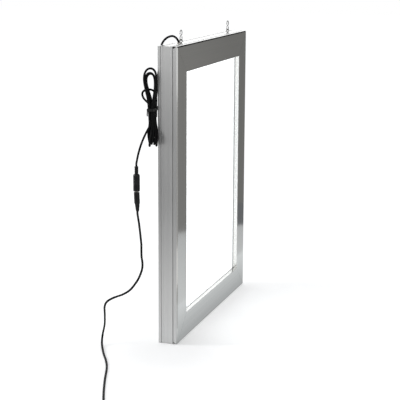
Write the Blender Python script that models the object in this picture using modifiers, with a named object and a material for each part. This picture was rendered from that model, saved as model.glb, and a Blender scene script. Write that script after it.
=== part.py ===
"""An edge lit LED light box with snap open front rails, two hanging hooks and its low voltage lead.

Frame of the part: metres, +Z up, origin at the bottom centre of the frame, the front faces -Y.
A frame bar is drawn in its own section: "a" runs inward from the bar's outer face and "d" runs
back from the front face. Length along the bar is added afterwards, with a mitre at each end.
"""
import math

import bmesh
import bpy
import numpy as np
from mathutils import Matrix, Vector

# Overall size of the frame
HEIGHT = 0.496
WIDTH = 0.373
DEPTH = 0.034

# Clearances
GAP = 0.0003
OVERRUN = 0.004

# Front rail section
RAIL_WIDTH = 0.044
RAIL_INSET = 0.0003
RAIL_SKIN = 0.0016
RAIL_CHAMFER = 0.0012
BEAD = 0.0016
HINGE_BACK = 0.007
LIP_DEPTH = 0.0073
LIP_WALL = 0.0016
RIB_AT = 0.0082
RIB_WALL = 0.0012
RIB_REACH = 0.0018

# Base section
WALL = 0.002
CUP_WALL = 0.0012
FRONT_EDGE = 0.009
FRONT_LIP = 0.0029
BAND_STEP = 0.0003
BAND_BACK = 0.0255
GROOVE_FRONT = 0.028
GROOVE_WIDE = 0.0012
GROOVE_DEEP = 0.0009
BACK_EDGE = 0.0006
FLANGE = 0.022
FLANGE_SKIN = 0.0016
PLATFORM_SKIN = 0.0018
SLOT_DEEP = 0.0036
SLOT_LIP = 0.0014
SLOT_SHUT = 0.002
SLOT_BACK = 0.0237
PANEL_REST = 0.0279
WEB_AT = 0.0176
WEB_BACK = 0.02
WEB_WALL = 0.0014

# Corner keys and their grub screws
KEY_ARM = 0.04
KEY_THICK = 0.003
KEY_SCREW_FROM_CORNER = 0.026
KEY_SCREW_RADIUS = 0.0017
KEY_SCREW_LONG = 0.0036

# Sheets in the frame, front to back
COVER_THICK = 0.0006
COVER_INSET = 0.038
SHEET_INSET = 0.0196
OPAL_THICK = 0.002
GUIDE_THICK = 0.004
GUIDE_END_INSET = 0.0226
REFLECTOR_THICK = 0.0005
BOARD_THICK = 0.0012
BOARD_DEEP = 0.007
BOARD_SHORT = 0.022
CHIP_LONG = 0.0035
CHIP_DEEP = 0.0028
CHIP_HIGH = 0.0008
CHIP_PITCH = 0.0128
FOAM_STRIP = 0.04
FOAM_ACROSS = 0.15
FOAM_UP = 0.32
PANEL_THICK = 0.0025

# Back screws
SCREW_RADIUS = 0.0014
SCREW_HEAD_RADIUS = 0.0027
SCREW_HEAD_HIGH = 0.0013
SCREW_LONG = 0.0037
SCREW_FROM_EDGE = 0.013
SCREW_FROM_CENTRE_SHARE = 0.33

# Snap springs
SPRING_THICK = 0.0005
SPRING_WIDE = 0.026
SPRING_FOOT = 0.007
SPRING_FOOT_AT = 0.0135
SPRING_FROM_CENTRE_SHARE = 0.25

# Panel clips at the edge of the window
CLIP_THICK = 0.0005
CLIP_LEG = 0.0022
CLIP_HEIGHT_SHARES = (0.7823, 0.2137)
CLIP_BOTTOM_AT = 0.008

# Eye bolts and S hooks on the top edge
EYE_FROM_END = 0.0625
EYE_RING = 0.0025
EYE_WIRE = 0.00075
EYE_SEAT = 0.00075
EYE_SHANK = 0.0015
EYE_SHANK_LONG = 0.0062
EYE_TURN_LEFT = math.radians(10)
EYE_TURN_RIGHT = math.radians(-4)
NUT_ACROSS = 0.007
NUT_HIGH = 0.003
HOOK_WIRE = 0.0007
HOOK_LOOP = 0.0042
HOOK_PLAY = 0.00035
HOOK_MOUTH = math.radians(35)

# Lead, gland and what they meet inside
LEAD = 0.00175
GLAND_FROM_END = 0.052
GLAND_RADIUS = 0.004
GLAND_HIGH = 0.0012
GLAND_BARREL = 0.003
GLAND_BARREL_LONG = 0.0056
GLAND_NUT_RADIUS = 0.0044
GLAND_NUT_HIGH = 0.0026
LEAD_PLUNGE = 0.010
LEAD_BEHIND = 0.008
LEAD_INSIDE = 0.034
JUNCTION_WIDE = 0.03
JUNCTION_HIGH = 0.018
JUNCTION_DEEP = 0.0083
JUNCTION_EDGE = 0.0008
WIRE = 0.00075
WIRE_RUN = 0.03

# Hank of the lead: two sides of a flat bundle, layer by layer toward the near side
TIE_DOWN = 0.101
LAYER = 0.0042
SIDE = 0.0021
WAIST_OUT = 0.005
WAIST_Y = 0.0238
MIDDLE_LAYER = 2.5
CROWN_LEAN_SHARE = 0.117
CROWN_Y = 0.0296
CROWNS = (0.0278, 0.0565, 0.057, 0.0575, 0.0645)
CROWN_BULGE = 0.0182
SMALL_LOOP_OUT = 0.0150
SMALL_LOOP_BULGE = 0.0105
SMALL_LOOP_TUCK = 0.0035
FOOT_DROPS = (0.0574, 0.0535, 0.0530, 0.0580)
EXIT_DRAW_IN = 0.014
FOOT_OUT = 0.0125
FOOT_Y = 0.0202
FOOT_BULGE = 0.0052
FOOT_TWIST = math.radians(74)
LOBE_SPREAD = 0.0009
FIRST_FOLD_DROP = 0.0095
FIRST_FOLD = 0.004
LOOP_POINTS = 24
SWELL_POWER = 1.7
ENTRY_LAYER = -2.0
ENTRY_ABOVE = 0.0205
ENTRY_ACROSS = 0.0015
TIE_HIGH = 0.005
TIE_THICK = 0.0009
TIE_SLACK = 0.0005
TIE_TAIL = 0.0008

# Inline jack, plug and barrel
JACK_OUT = 0.0135
JACK_Y = 0.049
JACK_DOWN = 0.0933
JACK_NECK = 0.003
JACK_NECK_THIN = 0.0024
JACK_NECK_LONG = 0.0115
JACK_SHOULDER_LONG = 0.0022
JACK_BODY = 0.0055
JACK_BODY_LONG = 0.0272
JACK_BORE = 0.00315
JACK_BORE_DEEP = 0.0132
PIN = 0.00105
PIN_LONG = 0.0112
PLUG_STEP = 0.0015
PLUG_BODY = 0.0045
PLUG_BODY_LONG = 0.0181
PLUG_LONG = 0.0324
PLUG_TAIL = 0.00275
PLUG_EDGE = 0.0006
BARREL = 0.00275
BARREL_BORE = 0.0015
BARREL_LONG = 0.0102

# Supply cord, its coil and the power adapter
SUPPLY = 0.0015
HEAD_LONG = 0.056
HEAD_LEAN = 0.0077
COIL_OUT_FROM_SIDE = 0.3435
COIL_Y = -0.006
COIL_MIDDLE = 0.018
COIL_STEP = 0.0040
COIL_RISE = 0.0037
COIL_TURNS = 8
COIL_IN = math.radians(-66.8)
COIL_OUT = math.radians(-90)
COIL_TIE_WIDE = 0.004
COIL_TIE_THICK = 0.0006
TAIL_LONG = 0.060
ADAPTER_LONG = 0.072
ADAPTER_WIDE = 0.044
ADAPTER_HIGH = 0.028
ADAPTER_EDGE = 0.002
RELIEF_LONG = 0.022
RELIEF_THICK = 0.0035
RELIEF_THIN = 0.0022
PRONG = 0.002
PRONG_LONG = 0.018
PRONG_SPACING = 0.019

HINGE_IN = RAIL_INSET + BEAD
HALF_DEPTH = DEPTH / 2
COVER_FRONT = LIP_DEPTH + GAP
PLATFORM_TOP = COVER_FRONT + COVER_THICK + GAP
PLATFORM_BACK = PLATFORM_TOP + PLATFORM_SKIN
OPAL_FRONT = PLATFORM_BACK + GAP
GUIDE_FRONT = OPAL_FRONT + OPAL_THICK + GAP
REFLECTOR_FRONT = GUIDE_FRONT + GUIDE_THICK + GAP
PANEL_BACK = DEPTH - FLANGE_SKIN - GAP
PANEL_FRONT = PANEL_BACK - PANEL_THICK
SLOT_IN = WALL + SLOT_DEEP
SLOT_TOP = SLOT_IN + SLOT_LIP
NEAR_SIDE = -WIDTH / 2
EYE_AT = WIDTH / 2 - EYE_FROM_END
GLAND_AT = WIDTH / 2 - GLAND_FROM_END
TIE_HEIGHT = HEIGHT - TIE_DOWN
WAIST_X = NEAR_SIDE - WAIST_OUT
FOOT_X = NEAR_SIDE - FOOT_OUT
JACK_X = NEAR_SIDE - JACK_OUT
JACK_TOP = TIE_HEIGHT - JACK_DOWN
JACK_SHOULDER = JACK_TOP - JACK_NECK_LONG
JACK_BODY_TOP = JACK_SHOULDER - JACK_SHOULDER_LONG
JACK_BOTTOM = JACK_BODY_TOP - JACK_BODY_LONG
COIL_X = NEAR_SIDE - COIL_OUT_FROM_SIDE

MATERIALS = {
    "satin_aluminium": ((0.50, 0.50, 0.49), 0.38, 1.0),
    "bright_aluminium": ((0.60, 0.60, 0.59), 0.16, 1.0),
    "zinc": ((0.55, 0.55, 0.53), 0.30, 1.0),
    "spring_steel": ((0.45, 0.46, 0.48), 0.25, 1.0),
    "clear_plastic": ((0.92, 0.94, 0.94), 0.06, 0.0),
    "opal": ((0.93, 0.94, 0.95), 0.35, 0.0),
    "reflector": ((0.88, 0.88, 0.88), 0.55, 0.0),
    "board": ((0.85, 0.86, 0.84), 0.45, 0.0),
    "chip": ((0.92, 0.85, 0.45), 0.30, 0.0),
    "foam": ((0.25, 0.26, 0.28), 0.95, 0.0),
    "panel_grey": ((0.30, 0.31, 0.32), 0.60, 0.0),
    "black_pvc": ((0.012, 0.012, 0.013), 0.42, 0.0),
    "black_plastic": ((0.018, 0.018, 0.020), 0.33, 0.0),
    "nickel": ((0.62, 0.60, 0.56), 0.18, 1.0),
}


def clear_scene():
    for obj in list(bpy.data.objects):
        bpy.data.objects.remove(obj, do_unlink=True)


def make_material(name):
    colour, roughness, metallic = MATERIALS[name]
    material = bpy.data.materials.get(name)
    if material:
        return material
    material = bpy.data.materials.new(name)
    material.use_nodes = True
    shader = material.node_tree.nodes["Principled BSDF"]
    shader.inputs["Base Color"].default_value = (*colour, 1)
    shader.inputs["Roughness"].default_value = roughness
    shader.inputs["Metallic"].default_value = metallic
    return material


def collection(name):
    found = bpy.data.collections.new(name)
    bpy.context.scene.collection.children.link(found)
    return found


clear_scene()
PARTS = collection("light_box")
CUTTERS = collection("cutters")
ROOT = bpy.data.objects.new("light_box", None)
PARTS.objects.link(ROOT)


def add(name, mesh, material, place=None, smooth=False):
    """An object of the light box, made from a mesh and put in its place."""
    obj = bpy.data.objects.new(name, mesh)
    PARTS.objects.link(obj)
    obj.parent = ROOT
    if place is not None:
        obj.matrix_local = place
    mesh.materials.clear()
    mesh.materials.append(make_material(material))
    if smooth:
        mesh.shade_smooth()
        mesh.set_sharp_from_angle(angle=math.radians(35))
    return obj


def cutter(name, mesh, place=None):
    obj = bpy.data.objects.new(name, mesh)
    CUTTERS.objects.link(obj)
    if place is not None:
        obj.matrix_world = place
    obj.hide_render = True
    obj.display_type = "WIRE"
    return obj


def cut(obj, tool):
    boolean = obj.modifiers.new("cut " + tool.name, "BOOLEAN")
    boolean.operation = "DIFFERENCE"
    boolean.solver = "EXACT"
    boolean.object = tool


def join(obj, tool):
    boolean = obj.modifiers.new("join " + tool.name, "BOOLEAN")
    boolean.operation = "UNION"
    boolean.solver = "EXACT"
    boolean.object = tool


def mesh_of(curve_data):
    """The closed mesh of a curve, with its loose caps welded on."""
    holder = bpy.data.objects.new("outline", curve_data)
    PARTS.objects.link(holder)
    graph = bpy.context.evaluated_depsgraph_get()
    mesh = bpy.data.meshes.new_from_object(holder.evaluated_get(graph))
    bpy.data.objects.remove(holder, do_unlink=True)
    bpy.data.curves.remove(curve_data)
    bm = bmesh.new()
    bm.from_mesh(mesh)
    bmesh.ops.remove_doubles(bm, verts=bm.verts, dist=GAP / 100)
    bmesh.ops.recalc_face_normals(bm, faces=bm.faces)
    bm.to_mesh(mesh)
    bm.free()
    return mesh


def flat_outline(outlines, thickness):
    """A prism along Z, centred on the plane of its outlines; the second outline is a hole."""
    data = bpy.data.curves.new("outline", "CURVE")
    data.dimensions = "2D"
    data.fill_mode = "BOTH"
    data.extrude = thickness / 2
    for outline in outlines:
        spline = data.splines.new("POLY")
        spline.points.add(len(outline) - 1)
        for point, (x, y) in zip(spline.points, outline):
            point.co = (x, y, 0, 1)
        spline.use_cyclic_u = True
    return mesh_of(data)


def tube_curve(points, radius, resolution):
    data = bpy.data.curves.new("tube", "CURVE")
    data.dimensions = "3D"
    data.bevel_depth = radius
    data.bevel_resolution = resolution
    data.use_fill_caps = True
    spline = data.splines.new("POLY")
    spline.points.add(len(points) - 1)
    for point, place in zip(spline.points, points):
        point.co = (*place, 1)
    return data


def tube(name, points, radius, material, resolution=2):
    obj = bpy.data.objects.new(name, tube_curve(points, radius, resolution))
    PARTS.objects.link(obj)
    obj.parent = ROOT
    obj.data.materials.append(make_material(material))
    return obj


def solid(parts):
    """One mesh of several separate blocks and cylinders, each given as (kind, sizes, place)."""
    bm = bmesh.new()
    for kind, sizes, place in parts:
        if kind == "box":
            sized = place @ Matrix.Diagonal((*sizes, 1))
            bmesh.ops.create_cube(bm, size=1, matrix=sized)
        else:
            bottom, top, high, sides = sizes
            bmesh.ops.create_cone(
                bm, cap_ends=True, segments=sides, radius1=bottom, radius2=top, depth=high, matrix=place
            )
    mesh = bpy.data.meshes.new("solid")
    bm.to_mesh(mesh)
    bm.free()
    return mesh


def box_between(low, high):
    low = Vector(low)
    high = Vector(high)
    return ("box", tuple(high - low), Matrix.Translation((low + high) / 2))


def bevel(obj, width, segments=1):
    edge = obj.modifiers.new("edges", "BEVEL")
    edge.width = width
    edge.segments = segments
    edge.limit_method = "ANGLE"


def turned(name, profile, material, place, sides=24):
    """A turned piece: profile of (radius, height) running from top to bottom, spun round Z."""
    mesh = bpy.data.meshes.new("profile")
    steps = [(i, i + 1) for i in range(len(profile) - 1)]
    mesh.from_pydata([(radius, 0, height) for radius, height in profile], steps, [])
    obj = add(name, mesh, material, place)
    screw = obj.modifiers.new("turn", "SCREW")
    screw.steps = sides
    screw.render_steps = sides
    screw.use_merge_vertices = True
    screw.merge_threshold = GAP / 10
    screw.use_smooth_shade = True
    return obj


def arc(centre, radius, start, end, steps):
    angles = np.radians(np.linspace(start, end, steps + 1))
    return [(centre[0] + radius * math.cos(t), centre[1] + radius * math.sin(t)) for t in angles]


# Each side of the frame as a turn about the front to back axis, and its bar's length
SIDES = {
    "left": (Vector((-WIDTH / 2, -HALF_DEPTH, HEIGHT / 2)), math.radians(0), HEIGHT),
    "right": (Vector((WIDTH / 2, -HALF_DEPTH, HEIGHT / 2)), math.radians(180), HEIGHT),
    "top": (Vector((0, -HALF_DEPTH, HEIGHT)), math.radians(90), WIDTH),
    "bottom": (Vector((0, -HALF_DEPTH, 0)), math.radians(-90), WIDTH),
}


def side_place(side, a=0.0, d=0.0, along=0.0):
    """Where (a, d, along) of a side lies in the part: local X inward, Y back, Z along the bar."""
    corner, turn, _ = SIDES[side]
    return Matrix.Translation(corner) @ Matrix.Rotation(turn, 4, "Y") @ Matrix.Translation((a, d, along))


def mitred_bar(outline, length, origin=(0.0, 0.0)):
    """A bar of this section, each end drawn back by its own distance from the outer face."""
    mesh = flat_outline([outline], length)
    for vertex in mesh.vertices:
        end = math.copysign(length / 2 - vertex.co.x - GAP / 2, vertex.co.z)
        vertex.co = (vertex.co.x - origin[0], vertex.co.y - origin[1], end)
    return mesh


def rail_outline():
    """Front rail: outer wall with the hinge bead, flat face, spring rib and inner lip."""
    hinge = (HINGE_IN, HINGE_BACK)
    points = [
        (RAIL_INSET, RAIL_CHAMFER),
        (RAIL_INSET + RAIL_CHAMFER, 0),
        (RAIL_WIDTH, 0),
        (RAIL_WIDTH, LIP_DEPTH),
        (RAIL_WIDTH - LIP_WALL, LIP_DEPTH),
        (RAIL_WIDTH - LIP_WALL, RAIL_SKIN),
        (RIB_AT + RIB_WALL, RAIL_SKIN),
        (RIB_AT + RIB_WALL, RAIL_SKIN + RIB_REACH),
        (RIB_AT, RAIL_SKIN + RIB_REACH),
        (RIB_AT, RAIL_SKIN),
        (HINGE_IN, RAIL_SKIN),
    ]
    return points + arc(hinge, BEAD, -90, 180, 12)


def base_outline():
    """Base profile: hinge cup, platform, outer wall with its back groove, key slot and flange."""
    hinge = (HINGE_IN, HINGE_BACK)
    bore = BEAD + GAP
    outer = bore + CUP_WALL
    rise = PLATFORM_TOP - HINGE_BACK
    meets = math.degrees(math.asin(rise / outer))
    groove_back = GROOVE_FRONT + GROOVE_WIDE
    points = [
        (0, FRONT_EDGE),
        (0, FRONT_EDGE + FRONT_LIP),
        (BAND_STEP, FRONT_EDGE + FRONT_LIP),
        (BAND_STEP, BAND_BACK),
        (0, BAND_BACK),
        (0, GROOVE_FRONT),
        (GROOVE_DEEP, GROOVE_FRONT),
        (GROOVE_DEEP, groove_back),
        (0, groove_back),
        (0, DEPTH - BACK_EDGE),
        (BACK_EDGE, DEPTH),
        (FLANGE, DEPTH),
        (FLANGE, DEPTH - FLANGE_SKIN),
        (WALL, DEPTH - FLANGE_SKIN),
        (WALL, PANEL_REST + SLOT_LIP),
        (SLOT_TOP, PANEL_REST + SLOT_LIP),
        (SLOT_TOP, PANEL_REST),
        (WALL, PANEL_REST),
        (WALL, SLOT_BACK + SLOT_LIP),
        (SLOT_TOP, SLOT_BACK + SLOT_LIP),
        (SLOT_TOP, SLOT_BACK - SLOT_SHUT),
        (SLOT_IN, SLOT_BACK - SLOT_SHUT),
        (SLOT_IN, SLOT_BACK),
        (WALL, SLOT_BACK),
        (WALL, PLATFORM_BACK),
        (SLOT_IN, PLATFORM_BACK),
        (SLOT_IN, PLATFORM_BACK + SLOT_SHUT),
        (SLOT_TOP, PLATFORM_BACK + SLOT_SHUT),
        (SLOT_TOP, PLATFORM_BACK),
        (WEB_AT, PLATFORM_BACK),
        (WEB_AT, WEB_BACK),
        (WEB_AT + WEB_WALL, WEB_BACK),
        (WEB_AT + WEB_WALL, PLATFORM_BACK),
        (RAIL_WIDTH, PLATFORM_BACK),
        (RAIL_WIDTH, PLATFORM_TOP),
    ]
    return points + arc(hinge, outer, meets, -80, 6) + arc(hinge, bore, -80, 90, 9)


def hexagon(across):
    radius = across / math.sqrt(3)
    return arc((0, 0), radius, 0, 300, 5)


def circle(radius, steps=16):
    return arc((0, 0), radius, 0, 360 - 360 / steps, steps - 1)


# Frame: four base profiles and four front rails
def build_frame():
    base = base_outline()
    rail = rail_outline()
    stop_short = HINGE_IN + BEAD + GAP
    for side, (_, _, length) in SIDES.items():
        add("base_" + side, mitred_bar(base, length), "satin_aluminium", side_place(side))
        mesh = mitred_bar(rail, length, (HINGE_IN, HINGE_BACK))
        rail_obj = add("rail_" + side, mesh, "bright_aluminium", side_place(side, HINGE_IN, HINGE_BACK))
        ends = []
        for end in (-1, 1):
            inner = end * (length / 2 - stop_short)
            outer = end * (length / 2 + OVERRUN)
            low = (-OVERRUN, HINGE_BACK - BEAD, min(inner, outer))
            high = (stop_short, HINGE_BACK + OVERRUN, max(inner, outer))
            ends.append(box_between(low, high))
        cut(rail_obj, cutter("bead_ends_" + side, solid(ends), side_place(side)))


# Corner keys: one L shaped plate in the slots of two bars, with a grub screw run into each arm
def build_keys():
    near = WALL + GAP
    far = near + KEY_THICK
    outline = [(near, near), (KEY_ARM, near), (KEY_ARM, far), (far, far), (far, KEY_ARM), (near, KEY_ARM)]
    wide = SLOT_BACK - PLATFORM_BACK - 2 * GAP
    middle = (SLOT_BACK + PLATFORM_BACK) / 2
    for right in (-1, 1):
        for up in (-1, 1):
            name = "corner_key_" + ("top" if up > 0 else "bottom") + ("_right" if right > 0 else "_left")
            corner = Vector((right * WIDTH / 2, middle - HALF_DEPTH, HEIGHT if up > 0 else 0))
            turned_outline = [(corner.x - right * x, corner.z - up * z) for x, z in outline]
            mesh = flat_outline([turned_outline], wide)
            lay = Matrix.Translation((0, corner.y, 0)) @ Matrix.Rotation(math.radians(90), 4, "X")
            key = add(name, mesh, "zinc", lay)
            depth = Vector((0, corner.y, 0))
            centre = near + KEY_SCREW_LONG / 2
            along_top = Vector((right * (WIDTH / 2 - KEY_SCREW_FROM_CORNER), 0, corner.z - up * centre))
            on_top = Matrix.Translation(depth + along_top)
            along_side = Vector((corner.x - right * centre, 0, corner.z - up * KEY_SCREW_FROM_CORNER))
            on_side = Matrix.Translation(depth + along_side) @ Matrix.Rotation(math.radians(90), 4, "Y")
            radius = KEY_SCREW_RADIUS
            size = (radius, radius, KEY_SCREW_LONG, 12)
            join(key, cutter("grub_screws_" + name, solid([("pin", size, on_top), ("pin", size, on_side)])))


def inner_size(inset):
    return WIDTH - 2 * inset, HEIGHT - 2 * inset


def sheet(name, front, thick, across, up, material):
    low = (-across / 2, front - HALF_DEPTH, (HEIGHT - up) / 2)
    high = (across / 2, front + thick - HALF_DEPTH, (HEIGHT + up) / 2)
    return add(name, solid([box_between(low, high)]), material)


# Screens, light guide, LED strips with their soldered chips, foam and back panel
def build_panels():
    across, up = inner_size(COVER_INSET)
    sheet("clear_cover", COVER_FRONT, COVER_THICK, across, up, "clear_plastic")
    across, up = inner_size(SHEET_INSET)
    sheet("opal_panel", OPAL_FRONT, OPAL_THICK, across, up, "opal")
    guide_up = HEIGHT - 2 * GUIDE_END_INSET
    sheet("light_guide", GUIDE_FRONT, GUIDE_THICK, across, guide_up, "clear_plastic")
    sheet("reflector", REFLECTOR_FRONT, REFLECTOR_THICK, across, guide_up, "reflector")
    panel_inset = WALL + GAP
    across, up = inner_size(panel_inset)
    panel = sheet("back_panel", PANEL_FRONT, PANEL_THICK, across, up, "panel_grey")
    strip = FOAM_STRIP / 2
    across = FOAM_ACROSS / 2
    up = FOAM_UP / 2
    quarter = [(across, strip), (strip, strip), (strip, up)]
    outline = []
    for sx, sz in ((1, 1), (-1, 1), (-1, -1), (1, -1)):
        turn = quarter if sx * sz > 0 else quarter[::-1]
        outline += [(sx * x, sz * z) for x, z in turn]
    front = REFLECTOR_FRONT + REFLECTOR_THICK + GAP
    back = PANEL_FRONT - GAP
    lay = Matrix.Translation((0, (front + back) / 2 - HALF_DEPTH, HEIGHT / 2))
    upright = lay @ Matrix.Rotation(math.radians(90), 4, "X")
    add("pressure_foam", flat_outline([outline], back - front), "foam", upright)
    for side in ("top", "bottom"):
        a = WEB_AT + WEB_WALL + GAP
        long = WIDTH - 2 * BOARD_SHORT
        low = (a, GUIDE_FRONT, -long / 2)
        high = (a + BOARD_THICK, GUIDE_FRONT + BOARD_DEEP, long / 2)
        board = solid([box_between(low, high)])
        strip_obj = add("led_strip_" + side, board, "board", side_place(side))
        chips = []
        chip_a = a + BOARD_THICK - CHIP_HIGH / 2
        middle = GUIDE_FRONT + GUIDE_THICK / 2
        count = int(long / CHIP_PITCH) - 1
        for i in range(count):
            along = (i - (count - 1) / 2) * CHIP_PITCH
            low = (chip_a, middle - CHIP_DEEP / 2, along - CHIP_LONG / 2)
            high = (chip_a + CHIP_HIGH * 1.5, middle + CHIP_DEEP / 2, along + CHIP_LONG / 2)
            chips.append(box_between(low, high))
        join(strip_obj, cutter("chips_" + side, solid(chips), side_place(side)))
    return panel


# Countersunk screws through the back flange into the panel, heads flush with the back face
def build_back_screws(panel):
    face = Matrix.Rotation(math.radians(-90), 4, "X")
    profile = [
        (0, -GAP / 3),
        (SCREW_HEAD_RADIUS, -GAP / 3),
        (SCREW_RADIUS, -SCREW_HEAD_HIGH),
        (SCREW_RADIUS, GAP - SCREW_LONG),
        (0, GAP - SCREW_LONG),
    ]
    hole = SCREW_RADIUS + GAP
    room = [
        (0, GAP),
        (SCREW_HEAD_RADIUS + 2 * GAP, GAP),
        (hole, -SCREW_HEAD_HIGH),
        (hole, -SCREW_LONG),
        (0, -SCREW_LONG),
    ]
    for side, (_, _, length) in SIDES.items():
        along = SCREW_FROM_CENTRE_SHARE * length
        place = side_place(side, SCREW_FROM_EDGE, DEPTH, along) @ face
        turned("back_screw_" + side, profile, "zinc", place, 16)
        tool = turned("screw_room_" + side, room, "zinc", place, 16)
        PARTS.objects.unlink(tool)
        CUTTERS.objects.link(tool)
        tool.hide_render = True
        tool.display_type = "WIRE"
        cut(bpy.data.objects["base_" + side], tool)
        cut(panel, tool)


# Spring strips: a foot strip on the platform, two leaves rising to the rib that they hold
def build_springs():
    foot_d = PLATFORM_TOP - GAP
    top_d = RAIL_SKIN + RIB_REACH
    tip_a = RIB_AT + RIB_WALL + GAP
    foot = SPRING_FOOT_AT
    thick = SPRING_THICK
    outline = [
        (foot + SPRING_FOOT, foot_d),
        (foot, foot_d),
        (tip_a, top_d),
        (tip_a, top_d - thick),
        (tip_a + thick, top_d - thick),
        (foot + thick, foot_d - thick),
        (foot + SPRING_FOOT, foot_d - thick),
    ]
    for side, (_, _, length) in SIDES.items():
        reach = SPRING_FROM_CENTRE_SHARE * length
        low = (foot + thick, foot_d - thick, -reach)
        high = (foot + SPRING_FOOT, foot_d, reach)
        spring = add("snap_spring_" + side, solid([box_between(low, high)]), "spring_steel", side_place(side))
        for end in (-1, 1):
            leaf = flat_outline([outline], SPRING_WIDE)
            leaf.transform(Matrix.Translation((0, 0, end * reach)))
            name = "leaf_" + side + ("_high" if end > 0 else "_low")
            join(spring, cutter(name, leaf, side_place(side)))


# Small folded clips that keep the clear cover on the platform, seen at the window's edge
def build_clips():
    a = RAIL_WIDTH + GAP
    front = PLATFORM_TOP
    back = OPAL_FRONT - GAP
    outline = [(a, front), (a + CLIP_THICK, front), (a + CLIP_THICK, back), (a, back)]
    spots = [("high", "right", HEIGHT / 2 - CLIP_HEIGHT_SHARES[0] * HEIGHT)]
    spots.append(("low", "right", HEIGHT / 2 - CLIP_HEIGHT_SHARES[1] * HEIGHT))
    spots.append(("bottom", "bottom", CLIP_BOTTOM_AT))
    for name, side, along in spots:
        clip = flat_outline([outline], CLIP_LEG)
        add("panel_clip_" + name, clip, "zinc", side_place(side, 0, 0, along))


def ring_points(radius, height, steps):
    angles = np.linspace(0, 2 * math.pi, steps, endpoint=False)
    return [(0, radius * math.cos(t), height + radius * math.sin(t)) for t in angles]


# Eye bolts through the top profile, each with a hexagon nut held in the key slot
def build_eyes(top):
    ring_height = EYE_SEAT + EYE_RING
    shank_holes = []
    for name, x, turn in (("left", -EYE_AT, EYE_TURN_LEFT), ("right", EYE_AT, EYE_TURN_RIGHT)):
        place = Matrix.Translation((x, 0, HEIGHT)) @ Matrix.Rotation(turn, 4, "Z")
        data = tube_curve(ring_points(EYE_RING, ring_height + GAP, 20), EYE_WIRE, 1)
        data.splines[0].use_cyclic_u = True
        ring = mesh_of(data)
        low = -EYE_SHANK_LONG
        high = GAP + EYE_WIRE
        middle = Matrix.Translation((0, 0, (high + low) / 2))
        shank = solid([("pin", (EYE_SHANK, EYE_SHANK, high - low, 16), middle)])
        bolt = add("eye_bolt_" + name, ring, "zinc", place, smooth=True)
        join(bolt, cutter("stem_" + name, shank, place))
        hole = EYE_SHANK + GAP
        shank_holes.append(("pin", (hole, hole, OVERRUN * 2, 16), Matrix.Translation((x, 0, HEIGHT))))
        nut = flat_outline([hexagon(NUT_ACROSS), circle(EYE_SHANK + GAP)], NUT_HIGH)
        nut.transform(Matrix.Translation((x, 0, HEIGHT - WALL - GAP - NUT_HIGH / 2)))
        add("eye_nut_" + name, nut, "zinc")
    cut(top, cutter("eye_holes", solid(shank_holes)))


def hook_points():
    """An S of two open loops one above the other, in the XZ plane, from its lower mouth up."""
    lower = -EYE_WIRE - HOOK_PLAY - HOOK_WIRE + HOOK_LOOP
    upper = lower + 2 * HOOK_LOOP
    points = []
    for t in np.linspace(HOOK_MOUTH, -1.5 * math.pi, 17):
        points.append((HOOK_LOOP * math.cos(t), 0, lower + HOOK_LOOP * math.sin(t)))
    for t in np.linspace(-math.pi / 2, math.pi + HOOK_MOUTH, 17)[1:]:
        points.append((HOOK_LOOP * math.cos(t), 0, upper + HOOK_LOOP * math.sin(t)))
    return points


def build_hooks():
    pivot = HEIGHT + GAP + EYE_SEAT + 2 * EYE_RING
    for name, x, turn in (("left", -EYE_AT, EYE_TURN_LEFT), ("right", EYE_AT, EYE_TURN_RIGHT)):
        hook = tube("s_hook_" + name, hook_points(), HOOK_WIRE, "zinc", 1)
        hook.matrix_local = Matrix.Translation((x, 0, pivot)) @ Matrix.Rotation(turn, 4, "Z")


def curve_through(places, spacing):
    """Points every so far along one smooth curve through the given places."""
    knots = np.array(places, float)
    knots = np.vstack([2 * knots[0] - knots[1], knots, 2 * knots[-1] - knots[-2]])
    fine = []
    for i in range(1, len(knots) - 2):
        p0, p1, p2, p3 = knots[i - 1: i + 3]
        for t in np.linspace(0, 1, 24, endpoint=False):
            pull = (2 * p0 - 5 * p1 + 4 * p2 - p3) * t * t + (3 * p1 - p0 - 3 * p2 + p3) * t ** 3
            fine.append((2 * p1 + (p2 - p0) * t + pull) / 2)
    fine.append(knots[-2])
    fine = np.array(fine)
    gone = np.concatenate([[0], np.cumsum(np.linalg.norm(np.diff(fine, axis=0), axis=1))])
    count = max(2, round(gone[-1] / spacing) + 1)
    stops = np.linspace(0, gone[-1], count)
    return np.stack([np.interp(stops, gone, fine[:, k]) for k in range(3)], axis=1)


def smooth_step(t):
    t = min(max(t, 0.0), 1.0)
    return t * t * (3 - 2 * t)


def hank_place(height, layer, across):
    """A strand's place: height above the tie, its layer, and how far out it is from the middle."""
    if height >= 0:
        lean = smooth_step(height / CROWNS[-1] * 1.2)
        centre = (WAIST_X + CROWN_LEAN_SHARE * height, WAIST_Y + (CROWN_Y - WAIST_Y) * lean)
        twist = 0.0
        spread = 0.0
    else:
        drop = -height / FOOT_DROPS[0]
        lean = smooth_step(drop)
        centre = (WAIST_X + (FOOT_X - WAIST_X) * lean, WAIST_Y + (FOOT_Y - WAIST_Y) * lean)
        twist = FOOT_TWIST * lean * min(drop, 1)
        spread = LOBE_SPREAD * math.sin(math.pi * min(drop, 1))
    along = (layer - MIDDLE_LAYER) * LAYER + spread * math.tanh(2 * (layer - MIDDLE_LAYER))
    x = centre[0] - along * math.cos(twist) + across * math.sin(twist)
    y = centre[1] + along * math.sin(twist) + across * math.cos(twist)
    return (x, y, TIE_HEIGHT + height)


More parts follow.
